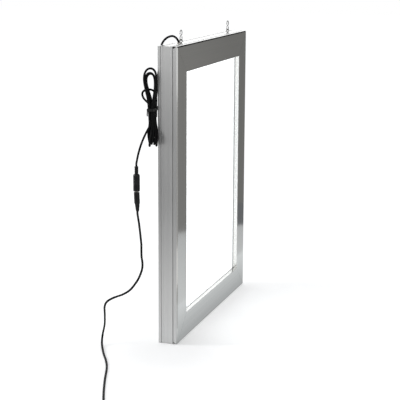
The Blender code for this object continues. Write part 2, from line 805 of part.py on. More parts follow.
def hank_points():
    """The lead's hank: down to a first fold, then up over a crown and down to a foot, five times."""
    points = [hank_place(height, ENTRY_LAYER, ENTRY_ACROSS) for height in (ENTRY_ABOVE, ENTRY_ABOVE / 2, 0)]
    fold = [(t, FIRST_FOLD_DROP + FIRST_FOLD * math.sin(t)) for t in np.linspace(0, math.pi, 7)]
    fold = [(0, FIRST_FOLD_DROP / 2)] + fold + [(math.pi, FIRST_FOLD_DROP / 2)]
    for t, drop in fold:
        left = (1 + math.cos(t)) / 2
        x, y, z = hank_place(0, ENTRY_LAYER * left, ENTRY_ACROSS * left - SIDE * (1 - left))
        points.append((x, y, z - drop))
    for loop, crown in enumerate(CROWNS):
        last = loop == len(CROWNS) - 1
        for step in range(LOOP_POINTS):
            t = 2 * math.pi * step / LOOP_POINTS
            if last and t > 1.12 * math.pi:
                break
            rise = math.sin(t)
            above = rise > 0
            size = crown if above else FOOT_DROPS[min(loop, len(FOOT_DROPS) - 1)]
            swell = CROWN_BULGE * crown / CROWNS[-1] if above else FOOT_BULGE
            half = SIDE + swell * abs(rise) ** SWELL_POWER
            aside = 0
            if loop == 0 and above:
                open_up = rise * smooth_step(1.6 * rise)
                half = SIDE + (SMALL_LOOP_BULGE if math.cos(t) < 0 else SMALL_LOOP_TUCK) * open_up
                aside = SMALL_LOOP_OUT * open_up * smooth_step(2 * t / math.pi - 0.6)
            if last and not above:
                half = SIDE - EXIT_DRAW_IN * abs(rise) ** SWELL_POWER
            climb = (t / math.pi - 0.6) / 0.4 if last else (t / math.pi - 0.75) / 0.5
            points.append(hank_place(size * rise, loop + smooth_step(climb), aside - half * math.cos(t)))
    return np.array(points)


def least_gap(points, radius):
    """Least clear distance of a tube to itself, away from its own neighbouring stretch."""
    fine = curve_through(points, radius)
    apart = int(3 * math.pi)
    least = float("inf")
    for i in range(len(fine) - apart):
        rest = np.linalg.norm(fine[i + apart:] - fine[i], axis=1)
        least = min(least, float(rest.min()))
    return least - 2 * radius


def straight_end(points, length, at_start):
    """The same route with one straight stretch of this length at an end."""
    points = np.array(points, float)
    if at_start:
        direction = points[0] - points[1]
        return np.vstack([points[0] + direction / np.linalg.norm(direction) * length, points])
    direction = points[-1] - points[-2]
    return np.vstack([points, points[-1] + direction / np.linalg.norm(direction) * length])


def unit(vector):
    return np.array(vector, float) / np.linalg.norm(vector)


# Gland in the top profile, the lead inside the frame, the junction and its two wires
def build_inside_lead(top):
    place = Matrix.Translation((-GLAND_AT, 0, HEIGHT))
    bore = LEAD + GAP
    profile = [
        (bore, GLAND_HIGH + GAP),
        (GLAND_RADIUS - GLAND_HIGH / 2, GLAND_HIGH + GAP),
        (GLAND_RADIUS, GLAND_HIGH / 2 + GAP),
        (GLAND_RADIUS, GAP),
        (GLAND_BARREL, GAP),
        (GLAND_BARREL, -GLAND_BARREL_LONG),
        (bore, -GLAND_BARREL_LONG),
        (bore, GLAND_HIGH + GAP),
    ]
    turned("cable_gland", profile, "nickel", place)
    hole = GLAND_BARREL + GAP
    cut(top, cutter("gland_hole", solid([("pin", (hole, hole, OVERRUN * 2, 24), place)])))
    nut = flat_outline([circle(GLAND_NUT_RADIUS, 6), circle(hole, 24)], GLAND_NUT_HIGH)
    nut_top = HEIGHT - WALL - GAP
    add("gland_nut", nut, "nickel", Matrix.Translation((-GLAND_AT, 0, nut_top - GLAND_NUT_HIGH / 2)))
    start = HEIGHT + GAP + GLAND_HIGH
    junction_top = HEIGHT - LEAD_INSIDE
    web_z = HEIGHT - WEB_AT
    route = [
        (-GLAND_AT, 0, start),
        (-GLAND_AT, 0, start - LEAD_PLUNGE / 2),
        (-GLAND_AT, GAP, start - LEAD_PLUNGE),
        (-GLAND_AT, LEAD_BEHIND * 0.3, (start - LEAD_PLUNGE + web_z) / 2),
        (-GLAND_AT, LEAD_BEHIND * 0.72, web_z),
        (-GLAND_AT, LEAD_BEHIND, web_z - LEAD * 3),
        (-GLAND_AT, LEAD_BEHIND, junction_top + GAP),
    ]
    tube("inner_lead", curve_through(route, 5 * LEAD / 2), LEAD, "black_pvc")
    back = PANEL_FRONT - GAP - HALF_DEPTH
    low = (-GLAND_AT - JUNCTION_WIDE / 2, back - JUNCTION_DEEP, junction_top - JUNCTION_HIGH)
    high = (-GLAND_AT + JUNCTION_WIDE / 2, back, junction_top)
    block = add("lead_junction", solid([box_between(low, high)]), "black_plastic")
    bevel(block, JUNCTION_EDGE)
    wire_y = back - WIRE - GAP
    board_y = GUIDE_FRONT + BOARD_DEEP + GAP - HALF_DEPTH
    board_a = WEB_AT + WEB_WALL + GAP + BOARD_THICK / 2
    side_x = -GLAND_AT + JUNCTION_WIDE / 2 + GAP
    side_z = junction_top - JUNCTION_HIGH / 2
    far_x = side_x + WIRE_RUN
    run = board_y - wire_y
    for name, board_z, turn_z in (
        ("wire_top", HEIGHT - board_a, HEIGHT - board_a - WIRE_RUN / 2),
        ("wire_bottom", board_a, board_a + WIRE_RUN / 2),
    ):
        start_z = side_z + (WIRE * 4 if name == "wire_top" else -WIRE * 4)
        route = [
            (side_x, wire_y, start_z),
            (side_x + WIRE_RUN / 3, wire_y, start_z),
            (far_x - WIRE_RUN / 4, wire_y, (start_z * 0.85 + turn_z * 0.15)),
            (far_x, wire_y, (start_z + turn_z) / 2),
            (far_x, wire_y, turn_z),
            (far_x, wire_y + run * 0.3, board_z + (turn_z - board_z) * 0.25),
            (far_x, board_y - run * 0.2, board_z),
            (far_x, board_y, board_z),
        ]
        spacing = WIRE * 8 if name == "wire_top" else WIRE * 20
        tube(name, curve_through(route, spacing), WIRE, "black_pvc", 1)


# Lead outside the frame: over the back edge, the hank with its tie, and the drop to the jack.
# Its places run from the near side face, and up from the top edge or from the tie.
LEAD_TOP = [
    (0.0520, 0.0000, 0.0048),
    (0.0497, 0.0008, 0.0088),
    (0.0435, 0.0033, 0.0119),
    (0.0365, 0.0068, 0.0131),
    (0.0299, 0.0112, 0.0112),
    (0.0255, 0.0160, 0.0060),
    (0.0233, 0.0193, -0.0020),
    (0.0225, 0.0204, -0.0140),
    (0.0203, 0.0206, -0.0300),
    (0.0180, 0.0228, -0.0480),
]
LEAD_DROP = [
    (-0.0184, 0.0256, -0.0290),
    (-0.0180, 0.0312, -0.0390),
    (-0.0162, 0.0386, -0.0540),
    (-0.0144, 0.0448, -0.0710),
    (-0.0136, 0.0482, -0.0845),
]


def build_lead():
    hank = hank_points()
    hank = straight_end(hank, LEAD * 2, True)
    hank = straight_end(hank, LEAD * 2, False)
    print("hank, least gap to itself, mm", round(least_gap(hank, LEAD) * 1000, 3))
    tube("lead_hank", hank, LEAD, "black_pvc", 1)
    into = unit(hank[0] - hank[1])
    out = unit(hank[-1] - hank[-2])
    start = (-GLAND_AT, 0, HEIGHT + GAP + GLAND_HIGH + GAP)
    end = hank[0] + into * GAP
    before = end + into * LEAD * 3
    over = [(NEAR_SIDE + x, y, HEIGHT + z) for x, y, z in LEAD_TOP]
    top = curve_through([start] + over + [before, end], LEAD * 3)
    tube("lead_top", top, LEAD, "black_pvc")
    begin = hank[-1] + out * GAP
    after = begin + out * LEAD * 3
    jack = (JACK_X, JACK_Y, JACK_TOP + GAP)
    above = (JACK_X, JACK_Y, JACK_TOP + LEAD * 3)
    drop = [(NEAR_SIDE + x, y, TIE_HEIGHT + z) for x, y, z in LEAD_DROP]
    tube("lead_drop", curve_through([begin, after] + drop + [above, jack], LEAD * 4), LEAD, "black_pvc")
    return hank


def strap_mesh(half_x, half_y, round_off, thick, wide):
    """A band of rounded rectangular outline round a bundle, its axis along Z."""
    inner = rounded(half_x, half_y, round_off)
    outer = rounded(half_x + thick, half_y + thick, round_off + thick)
    return flat_outline([outer, inner], wide)


def rounded(half_x, half_y, radius):
    radius = min(radius, half_x, half_y)
    points = []
    for quarter, (sx, sy) in enumerate(((1, 1), (-1, 1), (-1, -1), (1, -1))):
        centre = (sx * (half_x - radius), sy * (half_y - radius))
        points += arc(centre, radius, 90 * quarter, 90 * quarter + 90, 4)
    return points


# Twist tie round the waist of the hank, with its two twisted ends drooping outside
def build_tie():
    near = hank_place(0, len(CROWNS), SIDE)[0]
    far = hank_place(0, ENTRY_LAYER, SIDE)[0]
    clear = LEAD + 2 * GAP
    half_x = abs(near - far) / 2 + clear
    half_y = SIDE + clear + TIE_SLACK
    middle = Matrix.Translation(((near + far) / 2, WAIST_Y, TIE_HEIGHT))
    band = strap_mesh(half_x, half_y, clear, TIE_THICK, TIE_HIGH)
    tie = add("hank_tie", band, "black_plastic", middle)
    x = near + TIE_HIGH
    y = WAIST_Y + half_y + TIE_THICK
    route = [
        (x, y, TIE_HEIGHT + TIE_TAIL),
        (x - TIE_TAIL, y + 1.8 * TIE_TAIL, TIE_HEIGHT - TIE_HIGH / 2),
        (x - 2 * TIE_TAIL, y + 3.2 * TIE_TAIL, TIE_HEIGHT - TIE_HIGH * 1.4),
        (x - 2 * TIE_TAIL, y + 3.4 * TIE_TAIL, TIE_HEIGHT - TIE_HIGH * 2.2),
    ]
    ends = mesh_of(tube_curve(curve_through(route, TIE_TAIL * 3), TIE_TAIL, 1))
    join(tie, cutter("hank_tie_ends", ends))


# Inline jack on the lead, and the plug of the supply cord in it
def build_connector():
    jack_place = Matrix.Translation((JACK_X, JACK_Y, JACK_BOTTOM))
    top = JACK_TOP - JACK_BOTTOM
    shoulder = JACK_SHOULDER - JACK_BOTTOM
    body_top = JACK_BODY_TOP - JACK_BOTTOM
    profile = [
        (0, top),
        (JACK_NECK_THIN, top),
        (JACK_NECK, shoulder),
        (JACK_BODY - PLUG_EDGE, body_top),
        (JACK_BODY, body_top - PLUG_EDGE),
        (JACK_BODY, PLUG_EDGE),
        (JACK_BODY - PLUG_EDGE, 0),
        (JACK_BORE, 0),
        (JACK_BORE, JACK_BORE_DEEP),
        (0, JACK_BORE_DEEP),
    ]
    turned("dc_jack", profile, "black_plastic", jack_place)
    pin_top = JACK_BORE_DEEP - GAP
    pin_profile = [
        (0, pin_top),
        (PIN, pin_top),
        (PIN, pin_top - PIN_LONG + PIN),
        (PIN / 2, pin_top - PIN_LONG),
        (0, pin_top - PIN_LONG),
    ]
    turned("jack_pin", pin_profile, "nickel", jack_place, 12)
    plug_place = Matrix.Translation((JACK_X, JACK_Y, JACK_BOTTOM - PLUG_STEP))
    plug_profile = [
        (0, 0),
        (PLUG_BODY - PLUG_EDGE, 0),
        (PLUG_BODY, -PLUG_EDGE),
        (PLUG_BODY, -PLUG_BODY_LONG),
        (PLUG_BODY - PLUG_EDGE, -PLUG_BODY_LONG - PLUG_EDGE),
        (PLUG_TAIL, -PLUG_LONG),
        (0, -PLUG_LONG),
    ]
    turned("dc_plug", plug_profile, "black_plastic", plug_place)
    barrel_profile = [
        (BARREL_BORE, GAP + BARREL_LONG),
        (BARREL, GAP + BARREL_LONG),
        (BARREL, GAP),
        (BARREL_BORE, GAP),
        (BARREL_BORE, GAP + BARREL_LONG),
    ]
    turned("plug_barrel", barrel_profile, "nickel", plug_place, 16)


# Supply cord: a free drop with a bend, a run over the floor, its coil and the adapter. Its places
# run from the near side face, and its heights are shares of the height at which the drop starts.
SUPPLY_ROUTE = [
    (-0.0135, 0.0412),
    (-0.0135, 0.0396),
    (-0.0135, 0.0405),
    (-0.0139, 0.0458),
    (-0.0147, 0.0520),
    (-0.0165, 0.0608),
    (-0.0180, 0.0730),
    (-0.0200, 0.0900),
    (-0.0220, 0.1010),
    (-0.0230, 0.1047),
    (-0.0242, 0.1040),
    (-0.0265, 0.1035),
    (-0.0315, 0.1050),
    (-0.0395, 0.1030),
    (-0.0525, 0.0970),
    (-0.0825, 0.0810),
    (-0.1115, 0.0640),
    (-0.1405, 0.0500),
    (-0.1835, 0.0340),
    (-0.2265, 0.0170),
    (-0.2615, 0.0020),
    (-0.2935, -0.0120),
    (-0.3135, -0.0205),
]
SUPPLY_HEIGHT_SHARES = (
    0.8894, 0.8192, 0.7548, 0.6700, 0.6085, 0.5413, 0.4915, 0.4476, 0.4037, 0.3511, 0.2809,
    0.1814, 0.0878, 0.0351, 0.0129,
)
FLOOR_LIFT = 0.0001
COIL_LIFT = FLOOR_LIFT + COIL_TIE_THICK + GAP


def coil_points():
    """Spiral in on the floor, climb in the half turn where it reverses, spiral out on top."""
    turns = COIL_TURNS + (COIL_IN - COIL_OUT) / (2 * math.pi)
    inward = (turns - 0.5) / 2
    outer = COIL_MIDDLE + COIL_STEP * (inward - 0.5) / 2
    count = round(turns * LOOP_POINTS)
    points = []
    for i in range(count + 1):
        gone = turns * i / count
        if gone < inward:
            radius = outer - COIL_STEP * gone
        elif gone > turns - inward:
            radius = outer - COIL_STEP * (turns - gone)
        else:
            radius = outer - COIL_STEP * inward
        climb = smooth_step((gone - inward) / 0.5)
        angle = COIL_IN - 2 * math.pi * gone
        height = SUPPLY + COIL_LIFT + COIL_RISE * climb
        points.append((COIL_X + radius * math.cos(angle), COIL_Y + radius * math.sin(angle), height))
    return np.array(points)


def build_supply():
    plug_end = JACK_BOTTOM - PLUG_STEP - PLUG_LONG
    head_top = plug_end - GAP
    head_bottom = plug_end - HEAD_LONG
    head_route = [
        (JACK_X, JACK_Y, head_top),
        (JACK_X, JACK_Y, head_top - SUPPLY * 3),
        (JACK_X, JACK_Y - HEAD_LEAN * 0.42, plug_end - HEAD_LONG * 0.4),
        (JACK_X, JACK_Y - HEAD_LEAN * 0.86, plug_end - HEAD_LONG * 0.8),
        (JACK_X, JACK_Y - HEAD_LEAN * 0.98, head_bottom + SUPPLY),
        (JACK_X, JACK_Y - HEAD_LEAN, head_bottom),
    ]
    tube("supply_head", curve_through(head_route, SUPPLY * 4), SUPPLY, "black_pvc")
    coil = coil_points()
    coil = straight_end(coil, SUPPLY * 2, True)
    coil = straight_end(coil, SUPPLY * 2, False)
    print("coil, least gap to itself, mm", round(least_gap(coil, SUPPLY) * 1000, 3))
    tube("supply_coil", coil, SUPPLY, "black_pvc", 1)
    into = unit(coil[0] - coil[1])
    out = unit(coil[-1] - coil[-2])
    join = coil[0] + into * GAP
    start = (JACK_X, JACK_Y - HEAD_LEAN, head_bottom - GAP)
    resting = [SUPPLY + FLOOR_LIFT] * (len(SUPPLY_ROUTE) - len(SUPPLY_HEIGHT_SHARES))
    heights = [share * head_bottom for share in SUPPLY_HEIGHT_SHARES] + resting
    route = [start] + [(NEAR_SIDE + x, y, z) for (x, y), z in zip(SUPPLY_ROUTE, heights)]
    route += [join + into * SUPPLY * 4, join]
    tube("supply_lead", curve_through(route, SUPPLY * 4.6), SUPPLY, "black_pvc")
    begin = coil[-1] + out * GAP
    adapter_x = begin[0] - TAIL_LONG
    middle_z = ADAPTER_HIGH / 2
    tail_route = [
        begin,
        begin + out * SUPPLY * 3,
        (adapter_x + TAIL_LONG * 0.55, begin[1], (begin[2] + middle_z) / 2 - SUPPLY),
        (adapter_x + SUPPLY * 4, begin[1], middle_z),
        (adapter_x, begin[1], middle_z),
    ]
    tube("supply_tail", curve_through(tail_route, SUPPLY * 4.6), SUPPLY, "black_pvc")
    return adapter_x - GAP, begin[1], middle_z


# Tie round one side of the coil
def build_coil_tie():
    inward = (COIL_TURNS + (COIL_IN - COIL_OUT) / (2 * math.pi) - 0.5) / 2
    outer = COIL_MIDDLE + COIL_STEP * (inward - 0.5) / 2
    middle = outer - COIL_STEP * inward / 2
    half_x = COIL_STEP * inward / 2 + SUPPLY + 2 * GAP
    half_z = SUPPLY + COIL_RISE / 2 + GAP
    band = strap_mesh(half_x, half_z, SUPPLY, COIL_TIE_THICK, COIL_TIE_WIDE)
    turn = Matrix(((0, 0, 1, 0), (1, 0, 0, 0), (0, 1, 0, 0), (0, 0, 0, 1)))
    centre = (COIL_X, COIL_Y + middle, FLOOR_LIFT + COIL_TIE_THICK + half_z)
    add("coil_tie", band, "black_plastic", Matrix.Translation(centre) @ turn)


def build_adapter(at):
    x, y, z = at
    place = Matrix.Translation((x, y, z)) @ Matrix.Rotation(math.radians(-90), 4, "Y")
    relief = [
        (0, RELIEF_LONG),
        (RELIEF_THICK, RELIEF_LONG),
        (RELIEF_THIN, 0),
        (0, 0),
    ]
    turned("adapter_relief", relief, "black_plastic", place, 16)
    front = x - RELIEF_LONG - GAP
    half = ADAPTER_WIDE / 2
    body = box_between((front - ADAPTER_LONG, y - half, 0), (front, y + half, ADAPTER_HIGH))
    bevel(add("adapter_body", solid([body]), "black_plastic"), ADAPTER_EDGE, 2)
    end = front - ADAPTER_LONG - GAP
    turn = Matrix.Rotation(math.radians(90), 4, "Y")
    for name, side in (("near", -1), ("far", 1)):
        at_prong = Matrix.Translation((end - PRONG_LONG / 2, y + side * PRONG_SPACING / 2, z)) @ turn
        prong = solid([("pin", (PRONG, PRONG, PRONG_LONG, 16), Matrix.Identity(4))])
        add("adapter_pin_" + name, prong, "nickel", at_prong)


build_frame()
build_keys()
back_panel = build_panels()
build_back_screws(back_panel)
build_springs()
build_clips()
base_top = bpy.data.objects["base_top"]
build_eyes(base_top)
build_hooks()
build_inside_lead(base_top)
build_lead()
build_tie()
build_connector()
build_adapter(build_supply())
build_coil_tie()
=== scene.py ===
"""Finish of the edge lit LED light box: cords, profiles, fittings, materials, studio and camera.

Metres, +Z up, origin at the bottom centre of the frame, the front faces -Y. A bar of the frame is
drawn in its section: "a" runs inward from its outer face and "d" back from the front face.
"""
import math

import bmesh
import bpy
import numpy as np
from mathutils import Matrix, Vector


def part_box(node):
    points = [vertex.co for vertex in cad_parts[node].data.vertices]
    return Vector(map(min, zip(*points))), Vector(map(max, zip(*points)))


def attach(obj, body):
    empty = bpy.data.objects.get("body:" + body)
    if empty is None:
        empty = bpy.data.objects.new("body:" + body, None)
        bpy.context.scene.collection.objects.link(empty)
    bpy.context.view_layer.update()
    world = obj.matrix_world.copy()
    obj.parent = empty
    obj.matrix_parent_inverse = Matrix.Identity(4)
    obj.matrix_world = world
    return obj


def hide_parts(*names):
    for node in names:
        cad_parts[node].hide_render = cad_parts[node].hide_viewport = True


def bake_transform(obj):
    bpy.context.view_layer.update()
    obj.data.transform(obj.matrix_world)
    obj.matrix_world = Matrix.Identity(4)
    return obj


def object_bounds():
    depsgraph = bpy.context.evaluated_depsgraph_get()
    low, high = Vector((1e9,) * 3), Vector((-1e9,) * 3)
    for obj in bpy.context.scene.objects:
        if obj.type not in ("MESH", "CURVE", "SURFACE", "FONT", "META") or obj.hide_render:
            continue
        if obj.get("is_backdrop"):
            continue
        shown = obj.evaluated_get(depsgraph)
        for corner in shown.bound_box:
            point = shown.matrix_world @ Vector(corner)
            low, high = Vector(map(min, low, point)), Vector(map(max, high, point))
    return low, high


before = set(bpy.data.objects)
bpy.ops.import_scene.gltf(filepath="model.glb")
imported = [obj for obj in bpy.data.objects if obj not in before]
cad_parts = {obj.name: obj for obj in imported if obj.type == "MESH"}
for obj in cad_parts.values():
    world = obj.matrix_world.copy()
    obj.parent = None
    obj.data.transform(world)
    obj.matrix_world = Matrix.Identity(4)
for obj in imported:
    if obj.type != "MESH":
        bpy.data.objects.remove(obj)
CAD_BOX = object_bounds()

# Camera
CAMERA_PLACE = (-1.8861, -0.6450, 0.6544)
YAW, PITCH, ROLL = np.radians((70.877, 12.634, 0.244))
LENS = 102.897
VIEW_TURN = math.radians(19.1)

# Frame
HEIGHT = 0.496
WIDTH = 0.373
DEPTH = 0.034
GAP = 0.0003
HALF_DEPTH = DEPTH / 2
NEAR_SIDE = -WIDTH / 2

# Front rail section
RAIL_WIDTH = 0.044
RAIL_INSET = 0.0003
RAIL_SKIN = 0.0016
RAIL_CHAMFER = 0.0021
BEAD = 0.0016
HINGE_BACK = 0.007
HINGE_IN = RAIL_INSET + BEAD
LIP_DEPTH = 0.0073
LIP_WALL = 0.0016
RIB_AT = 0.0082
RIB_WALL = 0.0012
RIB_REACH = 0.0018
RAIL_ROUNDING = 0.0003

# Base section
WALL = 0.002
CUP_WALL = 0.0012
FRONT_EDGE = 0.0086
FRONT_LIP = 0.0032
BAND_STEP = 0.0003
BAND_BACK = 0.0255
GROOVE_FRONT = 0.028
GROOVE_BACK = 0.0292
GROOVE_DEEP = 0.0015
BACK_EDGE = 0.0006
FLANGE = 0.022
FLANGE_SKIN = 0.0016
PLATFORM_TOP = LIP_DEPTH + GAP + 0.0006 + GAP
PLATFORM_BACK = PLATFORM_TOP + 0.0018
SLOT_IN = WALL + 0.0036
SLOT_TOP = SLOT_IN + 0.0014
SLOT_LIP = 0.0014
SLOT_SHUT = 0.002
SLOT_BACK = 0.0237
PANEL_REST = 0.0279
WEB_AT = 0.0176
WEB_BACK = 0.02
WEB_WALL = 0.0014
BASE_ROUNDING = 0.00025

# Back screws: head, cross recess and shank, the last as (radius, distance under the head)
SCREW_HEAD = 0.0027
SCREW_FROM_EDGE = 0.013
SCREW_FROM_CENTRE_SHARE = 0.33
RECESS_DEEP = 0.0008
RECESS_HALF_WIDE, RECESS_SIDE = 0.00052, 0.0003
RECESS_REACH, RECESS_END = 0.0017, 0.0004
HEAD_FLAT, HEAD_CROWN = 0.9, 0.0002
SCREW_SHANK = [(SCREW_HEAD, HEAD_CROWN), (0.0014, 0.0013), (0.0014, 0.0034), (0, 0.0034)]
SCREW_ROOM = [(0, -GAP), (SCREW_HEAD + GAP, -GAP), (SCREW_HEAD + GAP, 0),
              (0.0017, 0.0013), (0.0017, 0.0032), (0, 0.0032)]

# Eye bolts, hooks and gland
EYE_AT = WIDTH / 2 - 0.0625
EYE_RING = 0.0025
EYE_WIRE = 0.00075
EYE_SHANK = 0.0015
EYE_SHANK_LONG = 0.0062
EYE_NECK_TOP, EYE_NECK, EYE_COLLAR, EYE_TIP = 0.0010, 0.00125, 0.0024, 0.0008
EYE_OFF_WALL = 0.00002
THREAD_FROM, THREAD_STEP, THREAD_DEEP = 0.0012, 0.0006, 0.00022
HOOK_TURN = math.radians(-3)
HOOK_WIRE = 0.0007
HOOK_LOOP = 0.0042
HOOK_PLAY = 0.00035
HOOK_MOUTH = math.radians(35)
GLAND_AT = WIDTH / 2 - 0.052
GLAND_RADIUS, GLAND_ROUNDING = 0.004, 0.0004
GLAND_HIGH = 0.0012
GLAND_TOP = HEIGHT + GAP + GLAND_HIGH
GLAND_BARREL = 0.003
GLAND_BARREL_LONG = 0.0056
DRILL_ABOVE, DRILL_BELOW = 0.003, 0.004

# Lead and its hank; the routes are (x from the near side, y, height from the top or the tie)
LEAD = 0.00175
LEAD_SPACING = 0.0012
TIE_HEIGHT = HEIGHT - 0.101
LAYER = 0.0042
SIDE = 0.0021
WAIST = (NEAR_SIDE - 0.005, 0.0238)
MIDDLE_LAYER = 2.5
CROWN_LEAN_SHARE = 0.117
CROWN_Y = 0.0296
CROWNS = (0.0302, 0.0558, 0.0568, 0.0580, 0.0656)
CROWN_BULGES = (0, 0.0146, 0.0152, 0.0158, 0.0204)
CROWN_ASIDE = (0, 0.0004, 0.0004, 0.0004, -0.0007)
CROWN_TWIST = math.radians(-13)
CROWN_BACK = 0.003
CROWN_RISE = 1.2
CROWN_SPAN, LAST_SPAN = 0.97 * math.pi, 1.12 * math.pi
CLIMB_FROM, CLIMB_OVER = 0.75, 0.5
LAST_CLIMB_FROM, LAST_CLIMB_OVER = 0.6, 0.4
SMALL_LOOP = (0.0150, 0.0105, 0.0035)
SMALL_LOOP_FAR, SMALL_LOOP_NEAR, SMALL_LOOP_POWER = 2.6, 1.6, 0.6
SMALL_LOOP_ASIDE_FROM = 0.6
SWELL_POWER = 1.7
EXIT_DRAW_IN = 0.014
FOOT = (NEAR_SIDE - 0.0125, 0.0202)
FOOT_DROPS = (0.0574, 0.0550, 0.0546, 0.0580, 0.0580)
FOOT_TURN = 0.0058
FOOT_STEPS = 8
LEG_OPENS = 0.4
FOOT_LAYERS = (1, 2, 3, 4)
FOOT_SHIFTS = (0.0008, 0.0001, -0.0001, -0.0008)
FOOT_TWIST = math.radians(74)
LOBE_SPREAD = 0.0003
FIRST_FOLD_DROP = 0.0095
FIRST_FOLD = 0.004
LOOP_POINTS = 24
ENTRY_LAYER = -2.0
ENTRY_ABOVE = 0.0082
ENTRY_ACROSS = 0.0015
LEAD_TOP = np.array([
    (0.0517, 0.0010, 0.0048), (0.0492, 0.0028, 0.0088), (0.0434, 0.0049, 0.0120),
    (0.0365, 0.0068, 0.0131), (0.0299, 0.0112, 0.0112), (0.0255, 0.0160, 0.0060),
    (0.0233, 0.0193, -0.0020), (0.0225, 0.0204, -0.0140), (0.0203, 0.0206, -0.0300),
    (0.0180, 0.0228, -0.0480),
])
LEAD_DROP = np.array([
    (-0.0184, 0.0256, -0.0290), (-0.0180, 0.0312, -0.0390), (-0.0162, 0.0386, -0.0540),
    (-0.0144, 0.0448, -0.0710), (-0.0136, 0.0482, -0.0845),
])

# Ties: a strip with a wire in its middle, (width, half thickness at the edge, wire); the tail's
# route starts at the waist's far corner
TIE_HIGH = 0.005
TIE_STRIP = (TIE_HIGH * 0.92, 0.00018, 0.00034)
TAIL_STRIP = (0.0019, 0.00016, 0.00026)
COIL_STRIP = (0.004, 0.00018, 0.0003)
TIE_ROOM, TIE_ROOM_ACROSS = 0.0004, 0.0005
TIE_WAVE, WAVE_FROM = 0.0004, 0.6
TAIL_TURNS = 5 * math.pi
TAIL_APART = 0.00034
TAIL_SPACING = 0.00025
TAIL_ROUTE = np.array([
    (0.0016, -0.0006, 0.0008), (-0.0004, 0.0004, -0.0012), (-0.0014, 0.0008, -0.0040),
    (-0.0018, 0.0010, -0.0075), (-0.0018, 0.0008, -0.0105),
])
COIL_TIE_HALF_HIGH, COIL_TIE_CORNER, COIL_TIE_LIFT = 0.00245, 0.0016, 0.0005

# Inline jack, plug and barrel; the tables are (radius, distance under the shoulder)
JACK = (NEAR_SIDE - 0.0135, 0.049)
JACK_TOP = TIE_HEIGHT - 0.0933
JACK_SHOULDER = JACK_TOP - 0.0115
JACK_BOTTOM = JACK_SHOULDER - 0.0294
JACK_COLLAR = [(0, -0.0115), (0.0029, -0.0115), (0.0034, -0.0111), (0.0034, -0.0103)]
JACK_NECK = (0.0032, 0.0031)
JACK_NECK_ENDS = (JACK_SHOULDER + 0.0003, JACK_TOP - 0.0016)
JACK_BODY = [
    (0.0027, 0.0001), (0.0027, 0.0008), (0.0046, 0.0012), (0.0053, 0.0030), (0.0055, 0.0038),
    (0.0055, 0.0142), (0.00538, 0.0144), (0.00538, 0.0148), (0.0055, 0.0150), (0.0055, 0.0288),
    (0.0053, 0.0292), (0.0049, 0.0294), (0.00345, 0.0294), (0.00315, 0.0291), (0.00315, 0.0162),
    (0, 0.0162),
]
PIN_TOP = JACK_SHOULDER - 0.0162 - GAP
PIN, PIN_LONG = 0.00105, 0.0112
PLUG_TOP = JACK_BOTTOM - 0.0015
PLUG_BODY_END = PLUG_TOP - 0.0181
PLUG_END = PLUG_TOP - 0.0324
PLUG_NOSE = [(0, 0), (0.0041, 0), (0.0045, 0.0002), (0.0047, 0.0006)]
PLUG_HEEL = [(0.0047, 0), (0.0044, 0.0006)]
PLUG_TAIL = (0.00275, 0.0042)
PLUG_TAIL_ENDS = (PLUG_END + 0.0004, PLUG_BODY_END - 0.0012)
PLUG_HOLE = 0.0020
JACK_RIBS, PLUG_RIBS = (3, 0.00012), (5, 0.0003)
GRIP_FLATS, GRIP_SHARE = 16, 0.045
GRIP_FROM_TOP, GRIP_FROM_END, GRIP_FADE = 0.0022, 0.001, 0.001
BARREL = 0.00275
BARREL_BORE = 0.0015
BARREL_LONG = 0.0102
BARREL_ROUNDING = 0.0003

# Supply cord: two cores side by side, its coil and the power adapter; (x from the near side, y)
SUPPLY = 0.0015
SUPPLY_SPACING = 0.0016
CORE = 0.0009
VALLEY_HALF_WIDE, VALLEY_HEIGHT = 0.45, 0.86
FLOOR_LIFT = 0.0001
HEAD_LONG = 0.056
HEAD_LEAN = 0.0077
HEAD_STEPS = (0.4, 0.8)
HEAD_LEANS = np.array([0, 0, 0.42, 0.86, 0.98, 1])
TAIL_LEAN = 0.0012
LANDED = 0.02
TURN_FROM, TURN_OVER = 0.03, 0.07
COIL_CENTRE = (NEAR_SIDE - 0.3435, -0.006)
COIL_MIDDLE = 0.018
COIL_STEP = 0.0040
COIL_CLIMB = 0.5
COIL_IN = math.radians(-66.8)
COIL_OUT = math.radians(-90)
COIL_TURNS = 8 + (COIL_IN - COIL_OUT) / (2 * math.pi)
COIL_INWARD = (COIL_TURNS - 0.5) / 2
COIL_OUTER = COIL_MIDDLE + COIL_STEP * (COIL_INWARD - 0.5) / 2
TAIL_LONG, TAIL_RISES = 0.060, 0.55
RELIEF_LONG = 0.022
RELIEF_THICK = 0.0035
RELIEF_THIN = 0.0022
RELIEF_SLOTS, RELIEF_ENDS = 7, 0.06
SLOT_DEEP, SLOT_FROM, SLOT_EDGE = 0.0004, 0.55, 0.3
ADAPTER_MIDDLE = 0.014
SUPPLY_ROUTE = np.array([
    (-0.0135, 0.0412), (-0.0135, 0.0396), (-0.0135, 0.0405), (-0.0139, 0.0458),
    (-0.0147, 0.0520), (-0.0165, 0.0608), (-0.0180, 0.0730), (-0.0200, 0.0900),
    (-0.0220, 0.1010), (-0.0230, 0.1047), (-0.0242, 0.1040), (-0.0265, 0.1035),
    (-0.0315, 0.1050), (-0.0395, 0.1030), (-0.0525, 0.0970), (-0.0825, 0.0810),
    (-0.1115, 0.0640), (-0.1405, 0.0500), (-0.1835, 0.0340), (-0.2265, 0.0170),
    (-0.2615, 0.0020), (-0.2935, -0.0120), (-0.3135, -0.0205),
])
SUPPLY_HEIGHT_SHARES = np.array([
    0.8894, 0.8192, 0.7548, 0.6700, 0.6085, 0.5413, 0.4915, 0.4476, 0.4037, 0.3511, 0.2809,
    0.1814, 0.0878, 0.0351, 0.0129,
])

